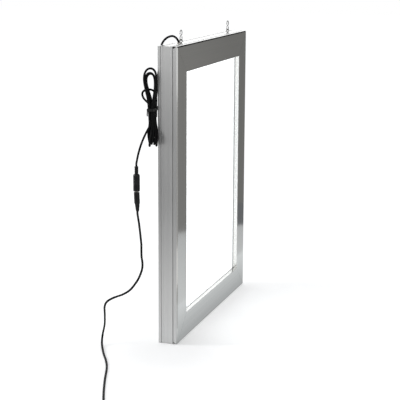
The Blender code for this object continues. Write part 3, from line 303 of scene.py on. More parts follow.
# Inner lead and wires
INNER_Y = 0.008
INNER_STRAIGHT = 0.010
WIRE = 0.00075
INNER_SPACING, WIRE_SPACING = 0.001, 0.002
WIRE_REACH = 0.03
HALF_BOARD = 0.0006
WIRE_TURN = 0.015

# Making
WELD = 2e-6
SAME_PLACE = 0.0006
CURVE_STEPS = 24
TURNED_SIDES = 48
CORNER_SHARE = 0.42
END_SIZE = 0.02
SHARP_ANGLE = 40


# Objects, curves and routes

def new_object(name, data):
    """Object at the origin, in the scene."""
    obj = bpy.data.objects.new(name, data)
    bpy.context.scene.collection.objects.link(obj)
    return obj


def aim(obj, right, up, back, place):
    """Gives an object its own three axes and its place."""
    turn = np.identity(4)
    turn[:3, :3] = np.stack([right, up, back], axis=1)
    turn[:3, 3] = place
    obj.matrix_world = Matrix(turn.tolist())


def build_camera():
    """Camera at the photograph's place: turned by yaw from +Y toward +X, tipped down, rolled."""
    ahead = np.array((math.sin(YAW) * math.cos(PITCH), math.cos(YAW) * math.cos(PITCH),
                      -math.sin(PITCH)))
    level = np.array((math.cos(YAW), -math.sin(YAW), 0))
    above = np.cross(level, ahead)
    right = math.cos(ROLL) * level + math.sin(ROLL) * above
    up = math.cos(ROLL) * above - math.sin(ROLL) * level
    data = bpy.data.cameras.new("photo_view")
    data.lens = LENS
    data.sensor_width = 36
    data.clip_start = 0.05
    data.clip_end = 60
    camera = new_object("photo_view", data)
    aim(camera, right, up, -ahead, CAMERA_PLACE)
    bpy.context.scene.camera = camera


build_camera()


def smooth_step(t):
    """3t^2 - 2t^3 between 0 and 1, level outside."""
    t = np.clip(t, 0, 1)
    return t * t * (3 - 2 * t)


def unit(vectors):
    """Each vector divided by its own length."""
    vectors = np.asarray(vectors, float)
    return vectors / np.linalg.norm(vectors, axis=-1, keepdims=True)


def arc(centre, radius, start, end, steps):
    """Points on a circle: centre + radius (cos t, sin t), t from start to end in degrees."""
    t = np.radians(np.linspace(start, end, steps + 1))
    return np.stack([centre[0] + radius * np.cos(t), centre[1] + radius * np.sin(t)], axis=1)


def length_gone(points):
    """Length of the path up to each of its points: the running sum of the steps."""
    return np.concatenate([[0], np.cumsum(np.linalg.norm(np.diff(points, axis=0), axis=1))])


def curve_through(places, spacing):
    """Cubic curve through the places, cut at equal lengths of about the spacing.

    It leaves each place along the line from the place before it to the place after it.
    """
    knots = np.asarray(places, float)
    apart = np.linalg.norm(np.diff(knots, axis=0), axis=1)
    knots = knots[np.concatenate([[True], apart > SAME_PLACE])]
    knots = np.vstack([2 * knots[0] - knots[1], knots, 2 * knots[-1] - knots[-2]])
    p0, p1, p2, p3 = (knots[i:len(knots) - 3 + i, None] for i in range(4))
    t = np.linspace(0, 1, CURVE_STEPS, endpoint=False)[None, :, None]
    pull = (2 * p0 - 5 * p1 + 4 * p2 - p3) * t ** 2 + (3 * p1 - p0 - 3 * p2 + p3) * t ** 3
    fine = ((2 * p1 + (p2 - p0) * t + pull) / 2).reshape(-1, 3)
    fine = np.vstack([fine, knots[-2]])
    gone = length_gone(fine)
    stops = np.linspace(0, gone[-1], max(2, round(gone[-1] / spacing) + 1))
    return np.stack([np.interp(stops, gone, fine[:, k]) for k in range(3)], axis=1)


def sideways(height):
    """The plug's soft end and the cord under it go to one side: lean times a smooth step."""
    above = smooth_step((PLUG_TOP - height) / (PLUG_TOP - PLUG_END))
    below = 1 - smooth_step((PLUG_END - SUPPLY * 3 - height) / (HEAD_LONG * HEAD_STEPS[1]))
    lean = TAIL_LEAN * np.where(height > PLUG_END, above, below)
    return np.stack([lean * math.sin(VIEW_TURN), -lean * math.cos(VIEW_TURN)], axis=-1)


def hank_place(height, layer, across):
    """Strand place: the bundle leans and twists with its height, another way below the tie."""
    height, layer, across = np.broadcast_arrays(height, layer, across)
    height = height.astype(float)
    up = height >= 0
    drop = np.maximum(-height, 0) / FOOT_DROPS[0]
    rise = smooth_step(np.maximum(height, 0) / CROWNS[-1] * CROWN_RISE)
    fall = smooth_step(drop)
    cx = WAIST[0] + np.where(up, CROWN_LEAN_SHARE * height, (FOOT[0] - WAIST[0]) * fall)
    cy = WAIST[1] + np.where(up, (CROWN_Y - WAIST[1]) * rise, (FOOT[1] - WAIST[1]) * fall)
    cx = cx - CROWN_BACK * rise * math.cos(VIEW_TURN)
    cy = cy - CROWN_BACK * rise * math.sin(VIEW_TURN)
    twist = np.where(up, CROWN_TWIST * rise, FOOT_TWIST * fall * np.minimum(drop, 1))
    spread = np.where(up, 0, LOBE_SPREAD * np.sin(math.pi * np.minimum(drop, 1)))
    along = (layer - MIDDLE_LAYER) * LAYER + spread * np.tanh(2 * (layer - MIDDLE_LAYER))
    along = along + fall * np.where(up, 0, np.interp(layer, FOOT_LAYERS, FOOT_SHIFTS))
    x = cx - along * np.cos(twist) + across * np.sin(twist)
    y = cy + along * np.sin(twist) + across * np.cos(twist)
    return np.stack([x, y, TIE_HEIGHT + height], axis=-1)


def foot_run(drop):
    """Down one leg, round a half circle and up the other: (height, across, share of the way)."""
    leg = drop - FOOT_TURN
    t = np.linspace(0, 1, FOOT_STEPS + 1)
    across = SIDE + (FOOT_TURN - SIDE) * smooth_step((t - LEG_OPENS) / (1 - LEG_OPENS))
    turn = np.linspace(0, math.pi, FOOT_STEPS + 1)[1:-1]
    height = np.concatenate([-leg * t, -leg - FOOT_TURN * np.sin(turn), -leg * t[::-1]])
    across = np.concatenate([across, FOOT_TURN * np.cos(turn), -across[::-1]])
    gone = length_gone(np.column_stack([height, across]))
    return height, across, gone / gone[-1]


def first_fold():
    """The lead's way into the hank: down behind it, and across in a fold that hangs by sin t."""
    entry = hank_place(np.array([ENTRY_ABOVE, 0]), ENTRY_LAYER, ENTRY_ACROSS)
    t = np.concatenate([[0], np.linspace(0, math.pi, 7), [math.pi]])
    drop = FIRST_FOLD_DROP + FIRST_FOLD * np.sin(t)
    drop[[0, -1]] = FIRST_FOLD_DROP / 2
    left = (1 + np.cos(t)) / 2
    fold = hank_place(0 * t, ENTRY_LAYER * left, ENTRY_ACROSS * left - SIDE * (1 - left))
    fold[:, 2] -= drop
    return [entry, fold]


def hank_points():
    """Loops of the hank: a crown, high as sin t and broad as |sin t|^1.7, then a foot."""
    parts = first_fold()
    for loop, crown in enumerate(CROWNS):
        last = loop == len(CROWNS) - 1
        t = 2 * math.pi * np.arange(LOOP_POINTS) / LOOP_POINTS
        t = t[t <= (LAST_SPAN if last else CROWN_SPAN)]
        rise = np.sin(t)
        above = rise > 0
        size = np.where(above, crown, FOOT_DROPS[loop])
        half = SIDE + CROWN_BULGES[loop] * np.abs(rise) ** SWELL_POWER
        aside = CROWN_ASIDE[loop] * smooth_step(rise)
        if loop == 0:
            out, bulge, tuck = SMALL_LOOP
            far = np.cos(t) < 0
            rise = np.maximum(rise, 0)
            spread = np.where(far, SMALL_LOOP_FAR, SMALL_LOOP_NEAR) * rise
            open_up = np.where(far, rise ** SMALL_LOOP_POWER, rise) * smooth_step(spread)
            half = SIDE + np.where(far, bulge, tuck) * open_up
            aside = out * open_up * smooth_step(2 * t / math.pi - SMALL_LOOP_ASIDE_FROM)
        if last:
            drawn = SIDE - EXIT_DRAW_IN * np.abs(rise) ** SWELL_POWER
            half = np.where(above, half, drawn)
            climb = (t / math.pi - LAST_CLIMB_FROM) / LAST_CLIMB_OVER
        else:
            climb = (t / math.pi - CLIMB_FROM) / CLIMB_OVER
        parts.append(hank_place(size * rise, loop + smooth_step(climb), aside - half * np.cos(t)))
        if not last:
            height, across, share = foot_run(FOOT_DROPS[loop])
            layer = loop + smooth_step((1 + share - CLIMB_FROM) / CLIMB_OVER)
            parts.append(hank_place(height, layer, across)[:-1])
    return np.vstack(parts)


def lead_route():
    """Out of the gland, over the back edge, round the hank and down to the jack."""
    hank = hank_points()
    out = unit(hank[-1] - hank[-2])
    end = hank[-1] + out * (LEAD * 2 + GAP)
    parts = [
        [(-GLAND_AT, 0, GLAND_TOP)],
        LEAD_TOP + (NEAR_SIDE, 0, HEIGHT),
        hank,
        [end, end + out * LEAD * 3],
        LEAD_DROP + (NEAR_SIDE, 0, TIE_HEIGHT),
        [(*JACK, JACK_TOP + LEAD * 3), (*JACK, JACK_TOP)],
    ]
    return curve_through(np.vstack(parts), LEAD_SPACING)


def coil_points():
    """Flat coil: radius falls a step a turn to the middle, then grows again one layer up."""
    gone = np.linspace(0, COIL_TURNS, round(COIL_TURNS * LOOP_POINTS) + 1)
    depth = np.minimum(np.minimum(gone, COIL_INWARD), COIL_TURNS - gone)
    radius = COIL_OUTER - COIL_STEP * depth
    angle = COIL_IN - 2 * math.pi * gone
    low = FLOOR_LIFT + 3 * GAP + CORE
    climb = smooth_step((gone - COIL_INWARD) / COIL_CLIMB)
    height = low + (2 * CORE + FLOOR_LIFT) * climb
    x = COIL_CENTRE[0] + radius * np.cos(angle)
    y = COIL_CENTRE[1] + radius * np.sin(angle)
    return np.stack([x, y, height], axis=1)


def supply_route():
    """From the plug down to the floor, along it into the coil, and up to the adapter."""
    head_bottom = PLUG_END - HEAD_LONG
    steps = [PLUG_END - HEAD_LONG * share for share in HEAD_STEPS]
    heights = np.array([
        PLUG_END, PLUG_END - SUPPLY * 3, *steps, head_bottom + SUPPLY, head_bottom])
    head = np.stack([JACK[0] + 0 * heights, JACK[1] - HEAD_LEAN * HEAD_LEANS, heights], axis=1)
    head[:, :2] += sideways(heights)
    coil = coil_points()
    into = unit(coil[0] - coil[1])
    out = unit(coil[-1] - coil[-2])
    resting = np.full(len(SUPPLY_ROUTE) - len(SUPPLY_HEIGHT_SHARES), CORE + FLOOR_LIFT)
    heights = np.concatenate([SUPPLY_HEIGHT_SHARES * head_bottom, resting])
    run = np.column_stack([SUPPLY_ROUTE + (NEAR_SIDE, 0), heights])
    begin = coil[-1] + out * (SUPPLY * 2 + GAP)
    end = np.array((begin[0] - TAIL_LONG, begin[1], ADAPTER_MIDDLE))
    rising = (end[0] + TAIL_LONG * TAIL_RISES, begin[1], (begin[2] + ADAPTER_MIDDLE) / 2 - SUPPLY)
    tail = [begin, begin + out * SUPPLY * 3, rising, end + (SUPPLY * 4, 0, 0), end]
    route = np.vstack([head, run, [coil[0] + into * SUPPLY * 6], coil, tail])
    return curve_through(route, SUPPLY_SPACING), end


# Mesh making

def surface(grid, wrap_rows=False, ends=True):
    """(points, faces) of a closed skin over a grid whose columns run round the section."""
    rows, columns = grid.shape[:2]
    i = np.arange(rows if wrap_rows else rows - 1)[:, None]
    j = np.arange(columns)[None, :]
    i2, j2 = (i + 1) % rows, (j + 1) % columns
    corners = [i * columns + j, i * columns + j2, i2 * columns + j2, i2 * columns + j]
    faces = np.stack(corners, axis=-1).reshape(-1, 4).tolist()
    if ends and not wrap_rows:
        faces.append(list(range(columns))[::-1])
        faces.append(list(range((rows - 1) * columns, rows * columns)))
    return grid.reshape(-1, 3), faces


def joined(*skins):
    """Several (points, faces) skins as one, each face's numbers moved past the earlier points."""
    starts = np.cumsum([0] + [len(points) for points, _ in skins[:-1]])
    faces = [[start + k for k in face]
             for start, (_, own_faces) in zip(starts, skins) for face in own_faces]
    return np.vstack([points for points, _ in skins]), faces


def welded_mesh(name, skin):
    """Mesh of a skin: its poles and seams welded, its faces outward."""
    mesh = bpy.data.meshes.new(name)
    mesh.from_pydata(skin[0].tolist(), [], skin[1])
    bm = bmesh.new()
    bm.from_mesh(mesh)
    bmesh.ops.remove_doubles(bm, verts=bm.verts, dist=WELD)
    bmesh.ops.recalc_face_normals(bm, faces=bm.faces)
    bm.to_mesh(mesh)
    bm.free()
    return mesh


def shade(obj, angle, weighted):
    """Smooth shading up to an angle in degrees, weighted by the faces' areas if asked."""
    obj.data.shade_smooth()
    obj.data.set_sharp_from_angle(angle=math.radians(angle))
    if weighted:
        obj.modifiers.new("even shading", "WEIGHTED_NORMAL").keep_sharp = True


def enlist(obj, body, stands_for):
    """Puts a piece under its body's empty, if it has one, and hides the nodes that it replaces."""
    if body:
        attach(obj, body)
    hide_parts(*stands_for)
    return obj


def piece(name, skin, material, body, stands_for, angle=SHARP_ANGLE, weighted=False):
    """A finished piece at the origin."""
    obj = new_object(name, welded_mesh(name, skin))
    obj.data.materials.append(material)
    shade(obj, angle, weighted)
    return enlist(obj, body, stands_for)


def softened(outline, radius, steps=4, least=25):
    """Outline whose corners are cut back by the radius and turn along a parabola."""
    outline = np.asarray(outline, float)
    before = np.roll(outline, 1, axis=0) - outline
    after = np.roll(outline, -1, axis=0) - outline
    len_b = np.linalg.norm(before, axis=1)
    len_a = np.linalg.norm(after, axis=1)
    turn = np.degrees(np.arccos(np.clip(-(before * after).sum(axis=1) / len_b / len_a, -1, 1)))
    back = np.minimum(radius, CORNER_SHARE * np.minimum(len_b, len_a))
    t = np.linspace(0, 1, steps + 1)[None, :, None]
    start = (outline + before / len_b[:, None] * back[:, None])[:, None]
    end = (outline + after / len_a[:, None] * back[:, None])[:, None]
    bent = start * (1 - t) ** 2 + 2 * outline[:, None] * t * (1 - t) + end * t ** 2
    return np.vstack([bent[i] if turn[i] > least else outline[i:i + 1] for i in range(len(turn))])


def under(height, table):
    """Profile of (radius, height) from a table of (radius, distance under a height)."""
    return np.array(table, float) * (1, -1) + (0, height)


def turned(profile, place, sides=TURNED_SIDES, axis=(0, 0, 1), ring=False):
    """Profile of (radius, height) carried round an axis: x = r cos t, y = r sin t, z = height."""
    profile = np.asarray(profile, float)
    t = np.linspace(0, 2 * math.pi, sides, endpoint=False)
    r, h = profile[:, :1], profile[:, 1:]
    local = np.stack([r * np.cos(t), r * np.sin(t), h + 0 * t], axis=-1)
    z = unit(axis)
    x = unit(np.cross(z, (0, 1, 0)) if abs(z[1]) < 0.9 else np.cross(z, (1, 0, 0)))
    turn = np.stack([x, np.cross(z, x), z])
    return surface(local @ turn + np.asarray(place), wrap_rows=ring, ends=False)


def directions_along(path, first):
    """Across and up at each point, carried along the path without turning about it."""
    tangents = unit(np.gradient(path, axis=0))
    across = np.empty_like(path)
    current = np.asarray(first, float)
    for i, tangent in enumerate(tangents):
        current = unit(current - tangent * float(current @ tangent))
        across[i] = current
    return across, np.cross(tangents, across)


def rolled(across, up, angle):
    """Across and up turned about the path by an angle at each point."""
    cos, sin = np.cos(angle)[:, None], np.sin(angle)[:, None]
    return across * cos + up * sin, up * cos - across * sin


def carried(path, section, across, up, wrap=False):
    """Skin of a section carried along a path: place + s across + t up."""
    across, up = (np.broadcast_to(way, path.shape)[:, None] for way in (across, up))
    return surface(path[:, None] + section[..., :1] * across + section[..., 1:] * up, wrap)


def round_section(radius, steps):
    """Points evenly round a circle, the last one step before the first."""
    return arc((0, 0), radius, 0, 360 - 360 / steps, steps - 1)


def round_wire(path, radius, steps, first=(0, 1, 0), size=1.0):
    """Round section along a path, its radius times the size at each point."""
    size = np.broadcast_to(size, len(path))[:, None, None]
    section = size * round_section(radius, steps)
    return carried(path, section, *directions_along(path, first))


def round_ends(path, radius):
    """Section scale along a path that closes each end as a half ball: sqrt(1 - (1 - s / r)^2)."""
    gone = length_gone(path)
    left = np.minimum(gone, gone[-1] - gone)
    return np.sqrt(np.clip(1 - (1 - np.minimum(left / radius, 1)) ** 2, END_SIZE ** 2, 1))


# Nodes, and the effects that materials share, as node groups

def feed(node, values):
    """Fills a node's inputs: an output is linked, a colour gets its fourth number."""
    for key, value in values.items():
        socket = node.inputs[key]
        if isinstance(value, bpy.types.NodeSocket):
            node.id_data.links.new(value, socket)
        elif socket.type == "RGBA":
            socket.default_value = (*value, 1)
        else:
            socket.default_value = value


def add(tree, kind, values, output=0, **settings):
    """New node with its settings made and its inputs fed; gives back the named output."""
    node = tree.nodes.new("ShaderNode" + kind)
    for key, value in settings.items():
        setattr(node, key, value)
    feed(node, values)
    return node.outputs[output]


def maths(tree, operation, *values):
    return add(tree, "Math", dict(enumerate(values)), operation=operation)


def noise(tree, vector, scale, detail, rough):
    values = {"Vector": vector, "Scale": scale, "Detail": detail, "Roughness": rough}
    return add(tree, "TexNoise", values, "Fac")


def ramp(tree, value, low, high, bottom=0, top=1, interpolation="SMOOTHSTEP"):
    """Bottom where the value is under low, top where it is over high."""
    values = {"Value": value, "From Min": low, "From Max": high, "To Min": bottom, "To Max": top}
    return add(tree, "MapRange", values, "Result", interpolation_type=interpolation)


def mix_colour(tree, factor, first, second):
    return add(tree, "Mix", {0: factor, 6: first, 7: second}, 2, data_type="RGBA")


def bump(tree, height, distance):
    return add(tree, "Bump", {"Height": height, "Distance": distance})


def object_place(tree):
    return add(tree, "TexCoord", {}, "Object")


def coordinate(tree, axis):
    return add(tree, "SeparateXYZ", {"Vector": object_place(tree)}, axis)


def stretched(tree, stretch=(1, 1, 1)):
    """Object coordinates, each axis multiplied: small numbers draw the pattern out along it."""
    return add(tree, "Mapping", {"Vector": object_place(tree), "Scale": stretch})


def new_group(name, inputs, outputs):
    """Empty group with its sockets: (group, what comes in, node that takes what goes out)."""
    group = bpy.data.node_groups.new(name, "ShaderNodeTree")
    for way, sockets in (("INPUT", inputs), ("OUTPUT", outputs)):
        for label, kind in sockets.items():
            group.interface.new_socket(label, in_out=way, socket_type="NodeSocket" + kind)
    return group, group.nodes.new("NodeGroupInput").outputs, group.nodes.new("NodeGroupOutput")


def use_group(tree, group, **values):
    return add(tree, "Group", values, node_tree=group).node.outputs


def finish_group(name, pattern, low, high, **extra):
    """Pattern's mask between the dark and the light colour, its clouds added to the roughness."""
    takes = {"Vector": "Vector", "Light": "Color", "Dark": "Color", "Roughness": "Float",
             "Change": "Float", **extra}
    gives = {"Colour": "Color", "Roughness": "Float", "Height": "Float"}
    group, start, end = new_group(name, takes, gives)
    mask, clouds, height = pattern(group, start)
    change = maths(group, "MULTIPLY", maths(group, "SUBTRACT", clouds, 0.5), start["Change"])
    feed(end, {
        "Colour": mix_colour(group, ramp(group, mask, low, high), start["Dark"], start["Light"]),
        "Roughness": maths(group, "ADD", start["Roughness"], change),
        "Height": height,
    })
    return group


def drawn_lines(group, start):
    """Lines that a die leaves along a drawn bar: noise on coordinates shortened lengthwise."""
    fine = noise(group, start["Vector"], 900, 2, 0.5)
    broad = noise(group, start["Vector"], 260, 2, 0.5)
    both = maths(group, "MULTIPLY_ADD", fine, 0.5, maths(group, "MULTIPLY", broad, 0.5))
    return both, broad, both


def moulded_grain(group, start):
    """Even moulded grain with softer clouds under it: two noises, fine and broad."""
    fine = noise(group, start["Vector"], start["Fineness"], 3, 0.6)
    broad = noise(group, start["Vector"], 55, 3, 0.5)
    return broad, broad, fine


def handling_group():
    """Where hands and cloths have been: broad clouds with a few short scuffs, as a mask."""
    group, start, end = new_group("handling", {"Vector": "Vector"}, {"Mask": "Float"})
    clouds = ramp(group, noise(group, start["Vector"], 14, 4, 0.6), 0.45, 0.75)
    scuffs = ramp(group, noise(group, start["Vector"], 160, 2, 0.8), 0.62, 0.78)
    half_clouds = maths(group, "MULTIPLY", clouds, 0.5)
    feed(end, {"Mask": maths(group, "MULTIPLY_ADD", scuffs, 0.5, half_clouds)})
    return group


DRAWN = finish_group("drawn_lines", drawn_lines, 0.36, 0.64)
GRAIN = finish_group("moulded_grain", moulded_grain, 0.32, 0.68, Fineness="Float")
HANDLING = handling_group()


# Materials
WORN_SHARE = 0.35
GRAIN_CHANGE = 0.12
PARTING_HALF_WIDE = (0.0001, 0.0003)
PARTING_DARK = (0.006, 0.006, 0.006)
PARTING_DEEP = 12
WIPED = 0.04
OPAL_EDGE_SHARE, OPAL_CLOUD_SHARE = 0.75, 0.25
OPAL_COOL, OPAL_WHITE = (0.955, 0.975, 1.0), (1.0, 1.0, 1.0)
OPAL_GLOW = 1.25
SLEEVE_LONG, SLEEVE_END = 0.0100, 0.0002
SLEEVE_BLACK, PRONG_METAL = (0.02, 0.02, 0.021), (0.68, 0.66, 0.62)


def new_material(name):
    material = bpy.data.materials.new(name)
    material.use_nodes = True
    return material, material.node_tree, material.node_tree.nodes["Principled BSDF"]


def metal(name, light, dark, roughness, change, stretch, height, metallic=1.0):
    """Drawn or plated metal: lines along the bar, and duller clouds where it was handled."""
    material, tree, shader = new_material(name)
    lines = use_group(tree, DRAWN, Vector=stretched(tree, stretch), Light=light, Dark=dark,
                      Roughness=roughness, Change=change)
    worn = use_group(tree, HANDLING, Vector=stretched(tree))["Mask"]
    feed(shader, {
        "Base Color": lines["Colour"],
        "Roughness": maths(tree, "MULTIPLY_ADD", worn, change * WORN_SHARE, lines["Roughness"]),
        "Normal": bump(tree, lines["Height"], height),
        "Metallic": metallic,
    })
    return material


def plastic(name, light, dark, roughness, fineness, height, specular=0.5, parting=None):
    """Moulded plastic, rubber or foam: even grain, with a parting line at a height if asked."""
    material, tree, shader = new_material(name)
    grain = use_group(tree, GRAIN, Vector=stretched(tree), Light=light, Dark=dark,
                      Fineness=fineness, Roughness=roughness, Change=GRAIN_CHANGE)
    colour, relief = grain["Colour"], grain["Height"]
    if parting:
        above = maths(tree, "SUBTRACT", coordinate(tree, "Z"), parting)
        body = ramp(tree, maths(tree, "ABSOLUTE", above), *PARTING_HALF_WIDE)
        colour = mix_colour(tree, body, PARTING_DARK, colour)
        relief = maths(tree, "MULTIPLY_ADD", body, PARTING_DEEP, relief)
    feed(shader, {
        "Base Color": colour,
        "Roughness": grain["Roughness"],
        "Normal": bump(tree, relief, height),
        "Specular IOR Level": specular,
    })
    return material


def clear_material():
    """Clear sheet: full transmission, with faint wiping marks in its roughness."""
    material, tree, shader = new_material("clear_sheet")
    marks = use_group(tree, HANDLING, Vector=stretched(tree))["Mask"]
    feed(shader, {
        "Base Color": (0.97, 0.98, 0.98),
        "Transmission Weight": 1,
        "IOR": 1.3,
        "Roughness": maths(tree, "MULTIPLY", marks, WIPED),
    })
    return material


def opal_material():
    """Lit opal sheet: glow falls off a little from the two lit edges toward the middle."""
    material, tree, shader = new_material("opal_sheet")
    up = maths(tree, "SUBTRACT", coordinate(tree, "Z"), HEIGHT / 2)
    far = maths(tree, "DIVIDE", maths(tree, "ABSOLUTE", up), HEIGHT / 2)
    near_edge = maths(tree, "MULTIPLY", ramp(tree, far, 0.2, 1.0), OPAL_EDGE_SHARE)
    cloud = ramp(tree, noise(tree, stretched(tree), 9, 2, 0.5), 0.2, 0.8)
    share = maths(tree, "MULTIPLY_ADD", cloud, OPAL_CLOUD_SHARE, near_edge)
    feed(shader, {
        "Emission Color": mix_colour(tree, share, OPAL_COOL, OPAL_WHITE),
        "Emission Strength": OPAL_GLOW,
        "Normal": bump(tree, noise(tree, stretched(tree), 3800, 2, 0.5), 6e-6),
        "Base Color": (0.92, 0.93, 0.94),
        "Roughness": 0.35,
    })
    return material


def prong_material(end):
    """Contact pin: nickel at its free end and a black sleeve from its root to the middle."""
    material, tree, shader = new_material("prong_finish")
    bare = ramp(tree, coordinate(tree, "X"), end + SLEEVE_END, end - SLEEVE_END)
    wear = noise(tree, stretched(tree, (0.2, 1, 1)), 2400, 3, 0.6)
    feed(shader, {
        "Base Color": mix_colour(tree, bare, SLEEVE_BLACK, PRONG_METAL),
        "Metallic": bare,
        "Roughness": maths(tree, "MULTIPLY", wear, 0.5),
    })
    return material


BAR_WAYS = {"upright": (1, 1, 0.004), "level": (0.004, 1, 1)}
SATIN = {way: metal("satin_profile_" + way, (0.600, 0.602, 0.598), (0.560, 0.562, 0.560),
                    0.30, 0.08, stretch, 1e-6, 0.82) for way, stretch in BAR_WAYS.items()}
BRIGHT = {way: metal("bright_rail_" + way, (0.63, 0.625, 0.61), (0.60, 0.60, 0.585),
                     0.10, 0.05, stretch, 4e-7) for way, stretch in BAR_WAYS.items()}
HOOK_ZINC = metal("hook_zinc", (0.30, 0.30, 0.29), (0.22, 0.22, 0.215),
                  0.34, 0.14, (0.4, 0.4, 0.4), 4e-6)
ZINC = metal("zinc_plate", (0.62, 0.62, 0.60), (0.50, 0.50, 0.49),
             0.24, 0.14, (0.4, 0.4, 0.4), 4e-6)
SPRING = metal("spring_strip", (0.50, 0.51, 0.53), (0.38, 0.39, 0.41),
               0.25, 0.15, (1, 0.1, 0.1), 2e-6)
NICKEL = metal("nickel_plate", (0.72, 0.70, 0.66), (0.60, 0.58, 0.55),
               0.16, 0.10, (0.3, 0.3, 0.3), 2e-6)
PVC = plastic("cord_pvc", (0.0060, 0.0060, 0.0066), (0.0038, 0.0038, 0.0042),
              0.58, 2200, 3e-6, 0.08)
TWIN_PVC = plastic("twin_pvc", (0.012, 0.0125, 0.0145), (0.008, 0.0085, 0.010),
                   0.60, 2200, 3e-6, 0.08)
BLACK = plastic("moulded_black", (0.0075, 0.008, 0.009), (0.0045, 0.0048, 0.0054),
                0.34, 2600, 5e-6, 0.22)
TIE = plastic("tie_strip", (0.006, 0.006, 0.0064), (0.0035, 0.0035, 0.0038),
              0.42, 2600, 4e-6, 0.25)
FOAM = plastic("packing_foam", (0.27, 0.28, 0.30), (0.20, 0.21, 0.23), 0.95, 1400, 2.5e-4)
BOARD = plastic("back_board", (0.33, 0.34, 0.35), (0.31, 0.32, 0.33), 0.62, 2100, 4e-5)
STRIP = plastic("strip_board", (0.88, 0.89, 0.87), (0.80, 0.81, 0.80), 0.42, 2600, 5e-6)
FILM = plastic("reflector_film", (0.90, 0.90, 0.90), (0.85, 0.85, 0.855), 0.55, 5200, 4e-6)
SHELL = plastic("adapter_shell", (0.024, 0.025, 0.027), (0.015, 0.016, 0.017), 0.42, 3600, 2e-5,
                parting=ADAPTER_MIDDLE)
PRONG_FINISH = prong_material(float(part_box("adapter_pin_near")[1][0]) - SLEEVE_LONG)
CLEAR = clear_material()
OPAL = opal_material()


# Cords first

def build_lead():
    """The lead as one round curve through its route."""
    path = lead_route()
    data = bpy.data.curves.new("lead_cord", "CURVE")
    data.dimensions = "3D"
    data.bevel_depth = LEAD
    data.bevel_resolution = 4
    data.use_fill_caps = True
    spline = data.splines.new("POLY")
    spline.points.add(len(path) - 1)
    spline.points.foreach_set("co", np.column_stack([path, np.ones(len(path))]).ravel())
    spline.use_smooth = True
    data.materials.append(PVC)
    lead = enlist(new_object("lead_cord", data), "light_box",
                  ("lead_top", "lead_hank", "lead_drop"))
    return lead, path


def twin_section(steps=28):
    """Two round cores: x = +-core + core cos t, y = core sin t, a little less in the valley."""
    t = np.linspace(0, 2 * math.pi, steps, endpoint=False)
    x = CORE * (np.where(np.cos(t) >= 0, 1, -1) + np.cos(t))
    y = CORE * np.sin(t)
    valley = np.abs(x) < CORE * VALLEY_HALF_WIDE
    return np.stack([x, np.where(valley, y * VALLEY_HEIGHT, y)], axis=1)


def build_supply():
    """The two core cord: its wide side turns to the photograph's view, and lies on the floor."""
    path, adapter_at = supply_route()
    tangents = unit(np.gradient(path, axis=0))
    landed = int(np.argmax(path[:, 2] < LANDED))
    flat = unit(np.cross(tangents, (0, 0, 1))[landed:])
    drop, _ = directions_along(path[:landed + 1][::-1], flat[0])
    across = np.vstack([drop[::-1][:-1], flat])
    up = np.cross(tangents, across)
    broad = np.array((math.sin(VIEW_TURN), -math.cos(VIEW_TURN), 0))
    wanted = np.unwrap(2 * np.arctan2(up @ broad, across @ broad)) / 2
    wanted -= math.pi * np.round(wanted[landed - 1] / math.pi)
    turn = wanted * smooth_step((path[:, 2] - TURN_FROM) / TURN_OVER)
    turn[landed:] = 0
    skin = carried(path, twin_section(), *rolled(across, up, turn))
    cord = piece("supply_cord", skin, TWIN_PVC, None,
                 ("supply_head", "supply_lead", "supply_coil", "supply_tail"), 60)
    return cord, path, adapter_at


lead_cord, lead_path = build_lead()
supply_cord, supply_path, adapter_at = build_supply()


# Frame profiles

# Middle of the bar's front outer edge, inward, along the bar, its length, which way it runs
SIDES = {
    "left": ((-WIDTH / 2, -HALF_DEPTH, HEIGHT / 2), (1, 0, 0), (0, 0, 1), HEIGHT, "upright"),
    "right": ((WIDTH / 2, -HALF_DEPTH, HEIGHT / 2), (-1, 0, 0), (0, 0, -1), HEIGHT, "upright"),
    "top": ((0, -HALF_DEPTH, HEIGHT), (0, 0, -1), (1, 0, 0), WIDTH, "level"),
    "bottom": ((0, -HALF_DEPTH, 0), (0, 0, 1), (-1, 0, 0), WIDTH, "level"),
}


def side_point(side, a, d, along):
    """Corner of the side + a inward + d back + distance along the bar."""
    corner, inward, run = (np.array(v) for v in SIDES[side][:3])
    a, d, along = (v[..., None] for v in np.broadcast_arrays(a, d, along))
    return corner + a * inward + d * np.array((0, 1, 0)) + along * run


def bar(side, outline, bead_from=None):
    """Section drawn along the bar to its 45 degree mitres, a hinge bead to short of them."""
    half = SIDES[side][3] / 2
    a, d = outline.T
    reach = half - a - GAP / 2
    if bead_from is not None:
        reach = np.where(d > bead_from, np.minimum(reach, half - HINGE_IN - BEAD - GAP), reach)
    return surface(np.stack([side_point(side, a, d, end * reach) for end in (-1, 1)]))


def rail_outline():
    """Front rail: chamfered outer wall and its hinge bead, flat face, spring rib and inner lip."""
    lip, rib = RAIL_WIDTH - LIP_WALL, RIB_AT + RIB_WALL
    corners = [
        (RAIL_INSET, RAIL_CHAMFER), (RAIL_INSET + RAIL_CHAMFER, 0), (RAIL_WIDTH, 0),
        (RAIL_WIDTH, LIP_DEPTH), (lip, LIP_DEPTH), (lip, RAIL_SKIN),
        (rib, RAIL_SKIN), (rib, RAIL_SKIN + RIB_REACH), (RIB_AT, RAIL_SKIN + RIB_REACH),
        (RIB_AT, RAIL_SKIN), (HINGE_IN, RAIL_SKIN),
    ]
    bead = arc((HINGE_IN, HINGE_BACK), BEAD, -90, 180, 18)
    return softened(np.vstack([corners, bead]), RAIL_ROUNDING)


